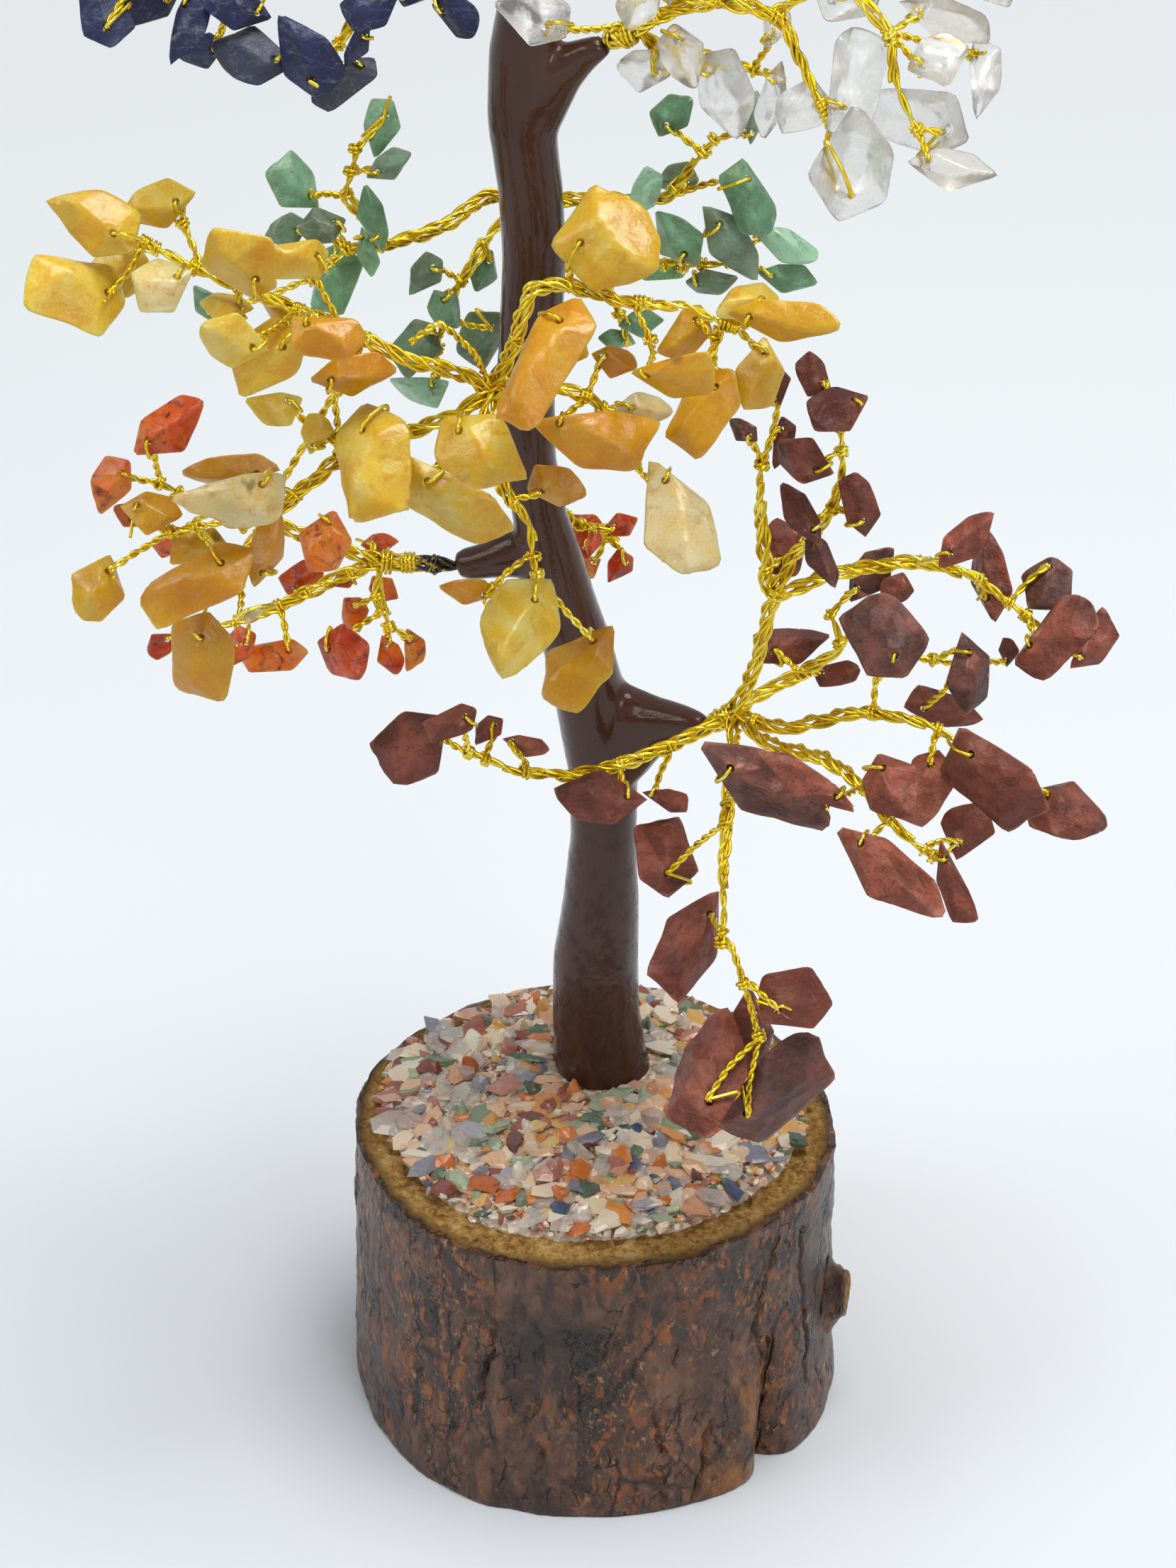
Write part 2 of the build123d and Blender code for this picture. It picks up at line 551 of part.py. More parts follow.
        (.130, 2.650, -.07, .100, .072, 16, "wedge"),
        (.050, 2.640, -.06, .092, .066, -24, "block"),
        (-.010, 2.740, -.22, .098, .072, 20, "kite"),
        (.030, 2.660, -.22, .088, .064, -30, "leaf"),
    ),
}

# The log's outline: (angle in degrees from +X, radius), with a cleft at the front right
LOG_OUTLINE_SHARES = (
    (-62, 1.000), (-51, 1.010), (-46, .960), (-43.5, .850), (-41, .950), (-36, 1.010),
    (-22, 1.020), (-2, 1.010), (18, .985), (38, 1.000), (58, .980), (79, 1.000),
    (100, 1.010), (121, .985), (141, 1.000), (161, 1.020), (181, 1.005), (200, .985),
    (220, 1.000), (241, 1.015), (261, 1.000), (280, .985),
)
STONE_COLOURS = ("cream", "orange", "green", "clear", "red", "cream", "blue", "orange",
                 "cream", "green", "clear", "red")
STONE_WIDTH_SHARES = (1.0, .72, .88, .62, .95, .78, .68)
STONE_HEIGHT_SHARES = (.8, 1.0, .62, .9, .7)

EYE = np.array([EYE_ACROSS, -EYE_DISTANCE, LOG_HEIGHT + EYE_RISE])
nodes = {}
inner_cells = {}
outer_cells = {}
limb_runs = {}
hinges = {}


def place(across, up, toward):
    seen = np.array([across * CROWN_REACH, 0.0, LOG_HEIGHT + (up - LOG_TOP_SHARE) * CROWN_REACH])
    nearer = (toward - TRUNK_SHARE) * CROWN_DEPTH - TRUNK_SETBACK
    return seen + (EYE - seen) * nearer / EYE_DISTANCE


def unit(vector):
    return vector / np.linalg.norm(vector)


def rotation(axis, angle):
    x, y, z = axis
    cross = np.array([[0, -z, y], [z, 0, -x], [-y, x, 0]])
    return np.eye(3) + math.sin(angle) * cross + (1 - math.cos(angle)) * cross @ cross


def side_axes(along):
    # Two directions square to a line, the second as upright as it can be
    upright = np.array([0.0, 0.0, 1.0]) if abs(along[2]) < 0.9 else np.array([0.0, 1.0, 0.0])
    first = unit(np.cross(along, upright))
    return first, np.cross(first, along)


def ring(centre, first, second, first_radius, second_radius, sides):
    angles = (np.arange(sides) + 0.5) * 2 * math.pi / sides
    return (centre + np.outer(np.cos(angles) * first_radius, first)
            + np.outer(np.sin(angles) * second_radius, second))


def flat_face(points):
    return Face(Wire.make_polygon([Vector(*point) for point in points], close=True))


def skin(rings):
    # A closed solid through a row of rings, with three-cornered flats between them
    sides = len(rings[0])
    faces = [flat_face(rings[0][::-1]), flat_face(rings[-1])]
    for low, high in zip(rings, rings[1:]):
        for k in range(sides):
            m = (k + 1) % sides
            faces.append(flat_face([low[k], low[m], high[m]]))
            faces.append(flat_face([low[k], high[m], high[k]]))
    return Solid(Shell(faces))


def hull_solid(points):
    shape = ConvexHull(points)
    faces = []
    for corners, plane in zip(shape.simplices, shape.equations):
        a, b, c = points[corners]
        if np.dot(np.cross(b - a, c - a), plane[:3]) < 0:
            b, c = c, b
        faces.append(flat_face([a, b, c]))
    return Solid(Shell(faces))


def add(node, solid):
    nodes.setdefault(node, []).append(solid)


class Cell:
    # A convex block of space, for telling whether two pieces keep apart
    def __init__(self, points):
        self.points = np.asarray(points, dtype=float)
        shape = ConvexHull(self.points)
        self.normals = np.unique(np.round(shape.equations[:, :3], 7), axis=0)
        pairs = {tuple(sorted(pair)) for face in shape.simplices for pair in combinations(face, 2)}
        pairs = np.array(sorted(pairs))
        self.edges = self.points[pairs[:, 0]] - self.points[pairs[:, 1]]
        self.edges /= np.linalg.norm(self.edges, axis=1)[:, None]
        self.centre = self.points.mean(axis=0)
        self.radius = np.linalg.norm(self.points - self.centre, axis=1).max()

    def moved(self, turn, shift):
        copy = Cell.__new__(Cell)
        copy.points = self.points @ turn.T + shift
        copy.normals = self.normals @ turn.T
        copy.edges = self.edges @ turn.T
        copy.centre = turn @ self.centre + shift
        copy.radius = self.radius
        return copy


def apart(one, other, gap):
    # Separating axes: face normals first, then the cross products of the edges
    normals = np.vstack([one.normals, other.normals])
    if spread(one, other, normals) >= gap:
        return True
    crosses = np.cross(one.edges[:, None, :], other.edges[None, :, :]).reshape(-1, 3)
    lengths = np.linalg.norm(crosses, axis=1)
    axes = crosses[lengths > 1e-6] / lengths[lengths > 1e-6][:, None]
    return len(axes) > 0 and spread(one, other, axes) >= gap


def spread(one, other, axes):
    first = one.points @ axes.T
    second = other.points @ axes.T
    gaps = np.maximum(first.min(axis=0) - second.max(axis=0), second.min(axis=0) - first.max(axis=0))
    return gaps.max()


def keeps_clear(cell, others, gap):
    if not others:
        return True
    centres = np.array([other.centre for other in others])
    radii = np.array([other.radius for other in others])
    near = np.linalg.norm(centres - cell.centre, axis=1) < radii + cell.radius + gap
    return all(apart(cell, others[k], gap) for k in np.flatnonzero(near))


def bend(body, degrees):
    # Turn and shift of a body that is bent about its hinge
    if body not in hinges or degrees == 0:
        return np.eye(3), np.zeros(3)
    pivot, axis = hinges[body]
    turn = rotation(axis, math.radians(degrees))
    return turn, pivot - turn @ pivot


def relative_poses(body, other):
    # Ways in which body can stand to other while either or both of them bend
    own = BEND_DEGREES.get(body, 0)
    theirs = BEND_DEGREES.get(other, 0)
    pairs = {(0, 0)}
    pairs |= {(own * step, 0) for step in BEND_STEPS}
    pairs |= {(0, theirs * step) for step in BEND_STEPS}
    pairs |= {(own * one, theirs * two) for one in (-1, 1) for two in (-1, 1)}
    for one, two in sorted(pairs, key=lambda pair: abs(pair[0]) + abs(pair[1])):
        turn, shift = bend(body, one)
        back, home = bend(other, -two)
        yield back @ turn, back @ shift + home


pose_store = {}


def poses(body, other):
    if (body, other) not in pose_store:
        pose_store[body, other] = list(relative_poses(body, other))
    return pose_store[body, other]


def clears_others(cell, body):
    for other, cells in outer_cells.items():
        if other == body:
            continue
        for turn, shift in poses(body, other):
            if not keeps_clear(cell.moved(turn, shift), cells, BOUGH_GAP):
                return False
    return True


def rod_rings(route, radii, sides):
    # Mitred rings along a route, so that each run is a straight prism
    rings = []
    along = [unit(b - a) for a, b in zip(route, route[1:])]
    first, second = side_axes(along[0])
    for k, point in enumerate(route):
        if k == 0:
            rings.append(ring(point, first, second, radii[0], radii[0], sides))
            continue
        run = along[k - 1]
        leaving = along[k] if k < len(along) else run
        mitre = unit(run + leaving)
        start = ring(route[k - 1], first, second, radii[k], radii[k], sides)
        reach = ((point - start) @ mitre) / (run @ mitre)
        rings.append(start + reach[:, None] * run)
        if leaving is not run:
            # Carry the section's axes round the corner
            turn = rotation(unit(np.cross(run, leaving)), math.acos(float(run @ leaving)))
            first = turn @ first
            second = turn @ second
    return rings


def run_cells(rings):
    return [Cell(np.vstack([low, high])) for low, high in zip(rings, rings[1:])]


def log_ring(height, radius):
    # The cleft is deepest at the foot and closes on its way up
    least = CLEFT_TOP_SHARE * min(1, height / (CLEFT_RISE_SHARE * LOG_HEIGHT))
    rows = []
    for degrees, share in LOG_OUTLINE_SHARES:
        angle = math.radians(degrees)
        reach = radius * max(share, least)
        rows.append((reach * math.cos(angle), reach * math.sin(angle), height))
    return np.array(rows)


def log_skin(inset):
    taper = LOG_TOP_RADIUS - LOG_FOOT_RADIUS
    return skin([log_ring(share * LOG_HEIGHT, LOG_FOOT_RADIUS + taper * share - inset)
                 for share in (0, CLEFT_RISE_SHARE, 1)])


up_axis = np.array([0.0, 0.0, 1.0])
x_axis = np.array([1.0, 0.0, 0.0])
y_axis = np.array([0.0, 1.0, 0.0])


def upright_prism(centre, low, high, radius, sides):
    base = np.array([centre[0], centre[1], 0.0])
    return skin([ring(base + up_axis * height, x_axis, y_axis, radius, radius, sides)
                 for height in (low, high)])


# The log slice, with a socket for the wires
bark_outside = log_skin(0)
bark_inside = log_skin(BARK_THICKNESS)
foot = place(*TRUNK_SHARES[0][:2], TRUNK_SHARE)
foot[2] = LOG_HEIGHT
socket = upright_prism(foot, LOG_HEIGHT - SOCKET_DEPTH, LOG_HEIGHT + SOCKET_DEPTH, SOCKET_RADIUS,
                       STUB_SIDES)
add("log_wood", bark_inside - socket)
add("log_bark", bark_outside - bark_inside)

# The cut end of a side twig, against the flat of the bark that lies behind it
knot_angle = math.radians(KNOT_DEGREES)
knot_out = np.array([math.cos(knot_angle), math.sin(knot_angle), 0.0])
flat = [abs(degrees - KNOT_DEGREES) < KNOT_FLAT_DEGREES for degrees, share in LOG_OUTLINE_SHARES]
bark_corners = np.vstack([
    log_ring(height, LOG_FOOT_RADIUS + (LOG_TOP_RADIUS - LOG_FOOT_RADIUS) * height / LOG_HEIGHT)[flat]
    for height in (KNOT_HEIGHT - KNOT_RADIUS, KNOT_HEIGHT + KNOT_RADIUS)])
knot_start = knot_out * ((bark_corners @ knot_out).max() + FACE_SEAT) + up_axis * KNOT_HEIGHT
knot_side = np.cross(knot_out, up_axis)
add("log_side_twig", skin([
    ring(knot_start, knot_side, -up_axis, KNOT_RADIUS, KNOT_RADIUS, STUB_SIDES),
    ring(knot_start + knot_out * KNOT_LENGTH, knot_side, -up_axis, KNOT_END_RADIUS, KNOT_END_RADIUS,
         STUB_SIDES)]))

# The moulded trunk with its branch stubs, hollow round the wires that it covers
trunk_rings = []
core_rings = []
bore_rings = []
for across, up, width in TRUNK_SHARES:
    centre = place(across, up, TRUNK_SHARE)
    if not trunk_rings:
        centre[2] = LOG_HEIGHT
    radius = width * CROWN_REACH / 2 * (1 + TRUNK_SETBACK / EYE_DISTANCE)
    trunk_rings.append(ring(centre, x_axis, y_axis, radius, radius, TRUNK_SIDES))
    core_rings.append(ring(centre, x_axis, y_axis, CORE_RADIUS, CORE_RADIUS, ROOT_SIDES))
    bore_rings.append(ring(centre, x_axis, y_axis, CORE_RADIUS + FACE_SEAT, CORE_RADIUS + FACE_SEAT,
                           ROOT_SIDES))
stub_tips = {}
stub_rings = {}
for name, rows in STUB_SHARES.items():
    middles = [place(*row[:3]) for row in rows]
    along = unit(middles[-1] - middles[0])
    first, second = side_axes(along)
    stub_rings[name] = [ring(middle, first, second, row[4] * CROWN_REACH / 2, row[3] * CROWN_REACH / 2,
                             STUB_SIDES) for middle, row in zip(middles, rows)]
    stub_tips[name] = (middles[-1], along)
stub_tips["amethyst"] = (trunk_rings[-1].mean(axis=0), up_axis)

trunk = skin(trunk_rings)
for name in stub_rings:
    trunk = trunk + skin(stub_rings[name])
core_top = len(TRUNK_SHARES) - 1
trunk = trunk - skin([bore_rings[0] - up_axis * RIM_WIDTH] + bore_rings[:core_top])
add("trunk_moulding", trunk.solids()[0])
core_foot = ring(foot - up_axis * (SOCKET_DEPTH - FACE_SEAT), x_axis, y_axis, CORE_SPLAY_RADIUS,
                 CORE_SPLAY_RADIUS, ROOT_SIDES)
core_neck = core_rings[0] - up_axis * CORE_RADIUS
add("trunk_core_wires", skin([core_foot, core_neck] + core_rings[:core_top]))

inner_cells["trunk"] = []
outer_cells["trunk"] = run_cells(trunk_rings)
for rings in stub_rings.values():
    outer_cells["trunk"] += run_cells(rings)

# The glue bed inside the rim and the coarse stones of the ground on it
bed_radius = LOG_TOP_RADIUS - RIM_WIDTH
bed_top = LOG_HEIGHT + BED_THICKNESS
bed = skin([log_ring(LOG_HEIGHT, bed_radius), log_ring(bed_top, bed_radius - BED_SLOPE)])
foot_radius = TRUNK_SHARES[0][2] * CROWN_REACH / 2 * (1 + TRUNK_SETBACK / EYE_DISTANCE)
bed_hole = upright_prism(foot, LOG_HEIGHT - BED_THICKNESS, bed_top + BED_THICKNESS,
                         foot_radius + STONE_CLEARANCE, TRUNK_SIDES)
add("glue_bed", bed - bed_hole)
stone_field = bed_radius - BED_SLOPE - STONE_WIDTH / 2
placed_stones = 0
for k in range(STONE_COUNT):
    reach = stone_field * math.sqrt((k + 0.5) / STONE_COUNT)
    angle = k * GOLDEN_ANGLE
    middle = np.array([reach * math.cos(angle), reach * math.sin(angle), bed_top + FACE_SEAT])
    half = STONE_WIDTH / 2 * STONE_WIDTH_SHARES[k % len(STONE_WIDTH_SHARES)]
    if np.linalg.norm((middle - foot)[:2]) < foot_radius + half + STONE_CLEARANCE:
        continue
    height = STONE_HEIGHT * STONE_HEIGHT_SHARES[k % len(STONE_HEIGHT_SHARES)]
    low_turn = rotation(up_axis, angle * STONE_TURN_SHARE)
    high_turn = rotation(up_axis, angle * STONE_TURN_SHARE + math.radians(STONE_TWIST_DEGREES))
    low = ring(middle, low_turn @ x_axis, low_turn @ y_axis, half, half * STONE_DEPTH_SHARE, 4)
    high = ring(middle + up_axis * height, high_turn @ x_axis, high_turn @ y_axis,
                half * STONE_TOP_SHARES[0], half * STONE_TOP_SHARES[1], 3)
    high[0] -= up_axis * height * STONE_SLANT_SHARE
    add("ground_stones_" + STONE_COLOURS[k % len(STONE_COLOURS)], hull_solid(np.vstack([low, high])))
    placed_stones += 1
ground = np.vstack([log_ring(0.0, LOG_FOOT_RADIUS), log_ring(LOG_HEIGHT, LOG_TOP_RADIUS),
                    log_ring(bed_top + STONE_HEIGHT, bed_radius)])
outer_cells["trunk"].append(Cell(ground))


# The boughs: a root that swells into a knuckle, and limbs that leave it
def bough_root(body):
    tip, along = stub_tips[body]
    knuckle = place(*KNUCKLE_SHARES[body])
    pivot = tip + along * PIVOT_GAP
    axis = np.array(BEND_AXES[body], dtype=float)
    hinges[body] = (pivot, axis)
    out = unit(knuckle - pivot)
    first, second = side_axes(out)
    length = np.linalg.norm(knuckle - pivot)
    stations = (
        (0.0, ROOT_TIP_RADIUS),
        (ROOT_NECK_RADIUS, ROOT_NECK_RADIUS),
        (length - KNUCKLE_RADIUS, ROOT_NECK_RADIUS),
        (length, KNUCKLE_RADIUS),
        (length + KNUCKLE_END_LENGTH, KNUCKLE_END_RADIUS),
    )
    rings = [ring(pivot + out * far, first, second, radius, radius, ROOT_SIDES)
             for far, radius in stations]
    add(body + "_root_wires", skin(rings))
    inner_cells[body] = run_cells(rings)
    outer_cells[body] = run_cells(rings)[1:]
    limb_runs[body] = []
    return knuckle


def start_clear(body, origin, target, radius, sides):
    # Move a wire's start out along its first run until it is clear of what carries it
    out = unit(target - origin)
    first, second = side_axes(out)
    near = [cell for cell in inner_cells[body]
            if np.linalg.norm(cell.centre - origin) < cell.radius + TWIG_REACH / 2]
    far = START_STEP * 2
    while far < np.linalg.norm(target - origin) * LAST_START_SHARE:
        start = origin + out * far
        cell = Cell(np.vstack([ring(start, first, second, radius, radius, sides),
                               ring(target, first, second, radius, radius, sides)]))
        if keeps_clear(cell, near, SEAT_GAP):
            return start
        far += START_STEP
    return None


for body, limbs in LIMB_SHARES.items():
    knuckle = bough_root(body)
    for number, (start_share, end_share, route_shares) in enumerate(limbs):
        route = [knuckle if row is None else place(*row) for row in route_shares]
        start_radius = start_share * CROWN_REACH
        end_radius = end_share * CROWN_REACH
        start = start_clear(body, route[0], route[1], start_radius, LIMB_SIDES)
        if start is None:
            print("no start for limb", body, number)
            start = route[0]
        route[0] = start
        radii = np.linspace(start_radius, end_radius, len(route))
        rings = rod_rings(route, radii, LIMB_SIDES)
        add(body + "_limb_wires", skin(rings))
        cells = run_cells(rings)
        for k, cell in enumerate(cells):
            if not keeps_clear(cell, inner_cells[body], SEAT_GAP / 2):
                print("limb touches its own bough:", body, number, "run", k)
            if not clears_others(cell, body):
                print("limb too near another bough:", body, number, "run", k)
        inner_cells[body] += cells
        outer_cells[body] += cells
        limb_runs[body].append((route, radii))


# The chips and the twigs that carry them
def chip_axes(middle, turn, lean, tip):
    facing = unit(EYE - middle)
    right = unit(np.cross(up_axis, facing))
    upward = np.cross(facing, right)
    angle = math.radians(turn)
    length_axis = math.cos(angle) * right + math.sin(angle) * upward
    width_axis = np.cross(facing, length_axis)
    lean_angle = math.radians(lean)
    facing, width_axis = (math.cos(lean_angle) * facing + math.sin(lean_angle) * width_axis,
                          math.cos(lean_angle) * width_axis - math.sin(lean_angle) * facing)
    tip_angle = math.radians(tip)
    facing, length_axis = (math.cos(tip_angle) * facing + math.sin(tip_angle) * length_axis,
                           math.cos(tip_angle) * length_axis - math.sin(tip_angle) * facing)
    return length_axis, width_axis, facing


def chip_points(middle, axes, length, width, outline):
    thickness = CHIP_THICKNESS_SHARE * math.sqrt(length * width)
    rows = [(u * length, v * width, lift * thickness)
            for (u, v), lift in zip(OUTLINE_SHARES[outline], RIM_LIFT_SHARES)]
    rows += [(u * length, v * width, w * thickness) for u, v, w in RIDGE_SHARES]
    return middle + np.array(rows) @ np.array(axes)


def bore_span(points, through, along):
    # Where a line through the chip enters and leaves it
    shape = ConvexHull(points)
    low, high = -math.inf, math.inf
    for a, b, c, d in shape.equations:
        slope = np.dot((a, b, c), along)
        rise = -(np.dot((a, b, c), through) + d)
        if slope > 1e-9:
            high = min(high, rise / slope)
        elif slope < -1e-9:
            low = max(low, rise / slope)
    return low, high


def wire_points(body, target):
    # Points along the limbs where a twig could leave, the nearest first
    found = []
    for route, radii in limb_runs[body]:
        for a, b, radius in zip(route, route[1:], radii):
            steps = max(2, int(np.linalg.norm(b - a) / WIRE_SAMPLE))
            for k in range(1, steps + 1):
                point = a + (b - a) * k / steps
                twig = target - point
                far = np.linalg.norm(twig)
                lead = float(unit(twig) @ unit(b - a))
                if TWIG_SHORTEST < far < TWIG_REACH:
                    found.append((far * (1 - FORWARD_SHARE * lead), tuple(point)))
    return [np.array(point) for cost, point in sorted(found)[:SOURCE_COUNT]]


def twig_for(body, chip, points, axes, middle, outline):
    # A twisted twig from a limb to one mouth of the bore, then a strand through it
    rim = np.array([u for u, v in OUTLINE_SHARES[outline]])
    ends = [points[int(rim.argmin())], points[int(rim.argmax())]]
    best = []
    for end in ends:
        bore = middle + (end - middle) * BORE_PLACE_SHARE
        low, high = bore_span(points, bore, axes[2])
        for side in (1, -1):
            near_face = high if side > 0 else -low
            far_face = -low if side > 0 else high
            mouth = bore + axes[2] * side * (near_face + MOUTH_RISE)
            tail = bore - axes[2] * side * (far_face + STRAND_END)
            best.append((bore, mouth, tail, axes[2] * side))
    for source in wire_points(body, middle):
        for bore, mouth, tail, outward in sorted(best, key=lambda row: np.linalg.norm(row[1] - source)):
            out = unit(mouth - source)
            if np.linalg.norm(mouth - source) < TWIG_SHORTEST or out @ outward > SIDEWAYS_SHARE:
                continue
            start = start_clear(body, source, mouth, TWIG_RADIUS, TWIG_SIDES)
            if start is None or np.linalg.norm(start - source) > TWIG_START_REACH:
                continue
            rings = rod_rings([start, mouth, tail], [TWIG_RADIUS, STRAND_RADIUS, STRAND_RADIUS], TWIG_SIDES)
            runs = run_cells(rings)
            if not apart(runs[0], chip, SEAT_GAP):
                continue
            if not all(keeps_clear(run, inner_cells[body], SEAT_GAP) for run in runs):
                continue
            whole = Cell(np.vstack(rings))
            if not clears_others(whole, body):
                continue
            return bore, rings, runs, whole
    return None


def set_chip(body, spray, number, row):
    across, up, toward, length_share, width_share, turn, outline = row
    length = length_share * CROWN_REACH
    width = width_share * CROWN_REACH
    slides = [0] + [step * sign for step in range(1, SLIDE_COUNT + 1) for sign in (1, -1)]
    for nudge in NUDGE_DEGREES:
        lean = LEAN_DEGREES[number % len(LEAN_DEGREES)] + nudge
        tip = TIP_DEGREES[number % len(TIP_DEGREES)] - nudge / 2
        for slide in slides:
            middle = place(across, up, toward + slide * SLIDE_STEP / CROWN_DEPTH)
            axes = chip_axes(middle, turn, lean, tip)
            points = chip_points(middle, axes, length, width, outline)
            chip = Cell(points)
            if not keeps_clear(chip, inner_cells[body], CHIP_CLEARANCE) or not clears_others(chip, body):
                continue
            twig = twig_for(body, chip, points, axes, middle, outline)
            if twig is None:
                continue
            bore, rings, runs, whole = twig
            drill = skin([ring(bore + axes[2] * end, axes[0], axes[1], BORE_RADIUS, BORE_RADIUS, BORE_SIDES)
                          for end in (-length, length)])
            drilled = hull_solid(points) - drill
            add(spray + "_chips", drilled.solids()[0])
            add(body + "_twig_wires", skin(rings))
            inner_cells[body] += [chip] + runs
            outer_cells[body] += [chip, whole]
            return slide, nudge
    return None


def body_of(spray):
    return next(body for body in sorted(LIMB_SHARES, key=len, reverse=True) if spray.startswith(body))


chip_count = 0
for spray, rows in CHIP_SHARES.items():
    moved = []
    for number, row in enumerate(rows):
        result = set_chip(body_of(spray), spray, number, row)
        if result is None:
            print("no room for a chip:", spray, number, row[:3])
        else:
            chip_count += 1
            if result != (0, 0):
                moved.append((number, *result))
    print(spray, "slid:", moved)

for node, pieces in nodes.items():
    solids = [solid for piece in pieces for solid in piece.solids()]
    export_step(Compound(solids), "parts/" + node + ".step")
print("chips", chip_count, "stones", placed_stones, "nodes", len(nodes))
for body, (pivot, axis) in hinges.items():
    print("hinge", body, [round(float(v) / 1000, 5) for v in pivot], [int(v) for v in axis],
          BEND_DEGREES[body])
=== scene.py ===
import json
import math

import bpy
import numpy as np
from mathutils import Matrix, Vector


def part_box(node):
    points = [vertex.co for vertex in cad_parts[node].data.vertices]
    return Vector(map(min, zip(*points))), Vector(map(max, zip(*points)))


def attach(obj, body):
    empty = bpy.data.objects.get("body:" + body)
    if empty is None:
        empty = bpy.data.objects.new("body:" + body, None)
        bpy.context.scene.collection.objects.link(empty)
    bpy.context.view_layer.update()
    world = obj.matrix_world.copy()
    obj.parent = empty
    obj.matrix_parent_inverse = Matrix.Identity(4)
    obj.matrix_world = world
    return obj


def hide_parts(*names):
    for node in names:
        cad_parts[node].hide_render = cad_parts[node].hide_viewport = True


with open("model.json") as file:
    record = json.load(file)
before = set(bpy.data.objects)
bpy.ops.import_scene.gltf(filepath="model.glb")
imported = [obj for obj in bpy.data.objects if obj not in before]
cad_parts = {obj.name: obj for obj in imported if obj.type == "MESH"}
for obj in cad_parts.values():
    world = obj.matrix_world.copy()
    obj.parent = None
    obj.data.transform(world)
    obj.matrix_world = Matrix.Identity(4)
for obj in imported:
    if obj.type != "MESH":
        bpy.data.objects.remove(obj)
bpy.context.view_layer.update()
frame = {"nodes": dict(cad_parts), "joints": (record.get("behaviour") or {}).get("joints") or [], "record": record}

mm = 0.001
fullTurn = 2 * math.pi
up = np.array([0.0, 0.0, 1.0])
black, white = (0, 0, 0), (1, 1, 1)
bodies = frame["record"]["behaviour"]["bodies"]
print("frame loaded:", len(frame["nodes"]), "nodes")


# Camera and lamps

view = {"eye": (-0.9, -503.0, 429.0), "tiltDown": 32.1, "lens": 89.51, "nearest": 0.01}
# Each lamp: name, power, size, place, target, colour
lamps = (
    ("topLight", 10.5, 0.65, (0.22, -0.05, 1.15), (0, 0, 0.15), (1, 0.99, 0.97)),
    ("leftLight", 2.0, 0.5, (-0.75, -0.25, 0.65), (0, 0, 0.14), (0.95, 0.98, 1)),
    ("frontLight", 1.7, 0.45, (0.35, -0.85, 0.62), (0, 0, 0.12), white),
)


def addObject(name, data):
    added = bpy.data.objects.new(name, data)
    bpy.context.scene.collection.objects.link(added)
    return added


camera = bpy.data.cameras.new("camera")
camera.lens = view["lens"]
camera.clip_start = view["nearest"]
cameraObject = addObject("camera", camera)
cameraObject.location = Vector(view["eye"]) * mm
cameraObject.rotation_euler = (math.radians(90 - view["tiltDown"]), 0, 0)
bpy.context.scene.camera = cameraObject
bpy.context.scene.view_settings.view_transform = "Standard"
for name, power, size, place, target, colour in lamps:
    lamp = bpy.data.lights.new(name, "AREA")
    lamp.shape, lamp.size, lamp.energy, lamp.color = "DISK", size, power, colour
    lampObject = addObject(name, lamp)
    lampObject.location = place
    lampObject.rotation_euler = (Vector(place) - Vector(target)).to_track_quat("Z", "Y").to_euler()


# Small tools

def lengths(rows):
    return np.linalg.norm(rows, axis=-1)


def unit(rows):
    return rows / np.maximum(np.linalg.norm(rows, axis=-1, keepdims=True), 1e-12)


def sideways(along):
    # Two directions square to one line
    first = unit(np.cross(along, up if abs(along[2]) < 0.9 else (0, 1, 0)))
    return first, np.cross(along, first)


def ringAngles(count):
    return np.linspace(0, fullTurn, count, endpoint=False)


def circled(angle, first, second):
    # Directions round a circle: cosine times one axis plus sine times the other
    return np.cos(angle)[..., None] * first + np.sin(angle)[..., None] * second


def softGreatest(depth, power):
    # The greatest value of the last axis, softened: the power's root of the sum of powers
    return (depth ** power).sum(axis=-1) ** (1 / power)


def gridFaces(rows, columns, loopRows=False):
    # Triangles of rings of points; looped rows join the last ring to the first
    counts = np.arange(rows if loopRows else rows - 1), np.arange(columns)
    a, b = (x.ravel() for x in np.meshgrid(*counts, indexing="ij"))
    a2, b2 = (a + 1) % rows, (b + 1) % columns
    p, q, s, t = a * columns + b, a * columns + b2, a2 * columns + b2, a2 * columns + b
    return np.vstack([np.stack([p, q, s], 1), np.stack([p, s, t], 1)])


def outward(points, faces):
    # Turn all faces round where the closed shape's volume comes out negative
    a, b, c = (points[faces[:, k]] - points[0] for k in range(3))
    return faces if (a * np.cross(b, c)).sum() > 0 else faces[:, ::-1]


def closedRings(rows, poles):
    # Rings of points, closed at both ends by a fan to each of two poles
    count, columns = rows.shape[:2]
    ring, last = np.arange(columns), count * columns
    fan = np.stack([np.full(columns, last), ring, np.roll(ring, -1)], 1)
    points = np.vstack([rows.reshape(-1, 3), poles])
    faces = np.vstack([gridFaces(count, columns), fan[:, ::-1], fan + (1, last - columns, last - columns)])
    return points, outward(points, faces)


def join(parts):
    # One list of points and faces from many, and which part each point came from
    counts = [len(points) for points, faces in parts]
    starts = np.concatenate([[0], np.cumsum(counts)[:-1]]).astype(int)
    points = np.vstack([points for points, faces in parts])
    faces = np.vstack([faces + start for (_, faces), start in zip(parts, starts)])
    return points, faces, np.repeat(np.arange(len(parts)), counts)


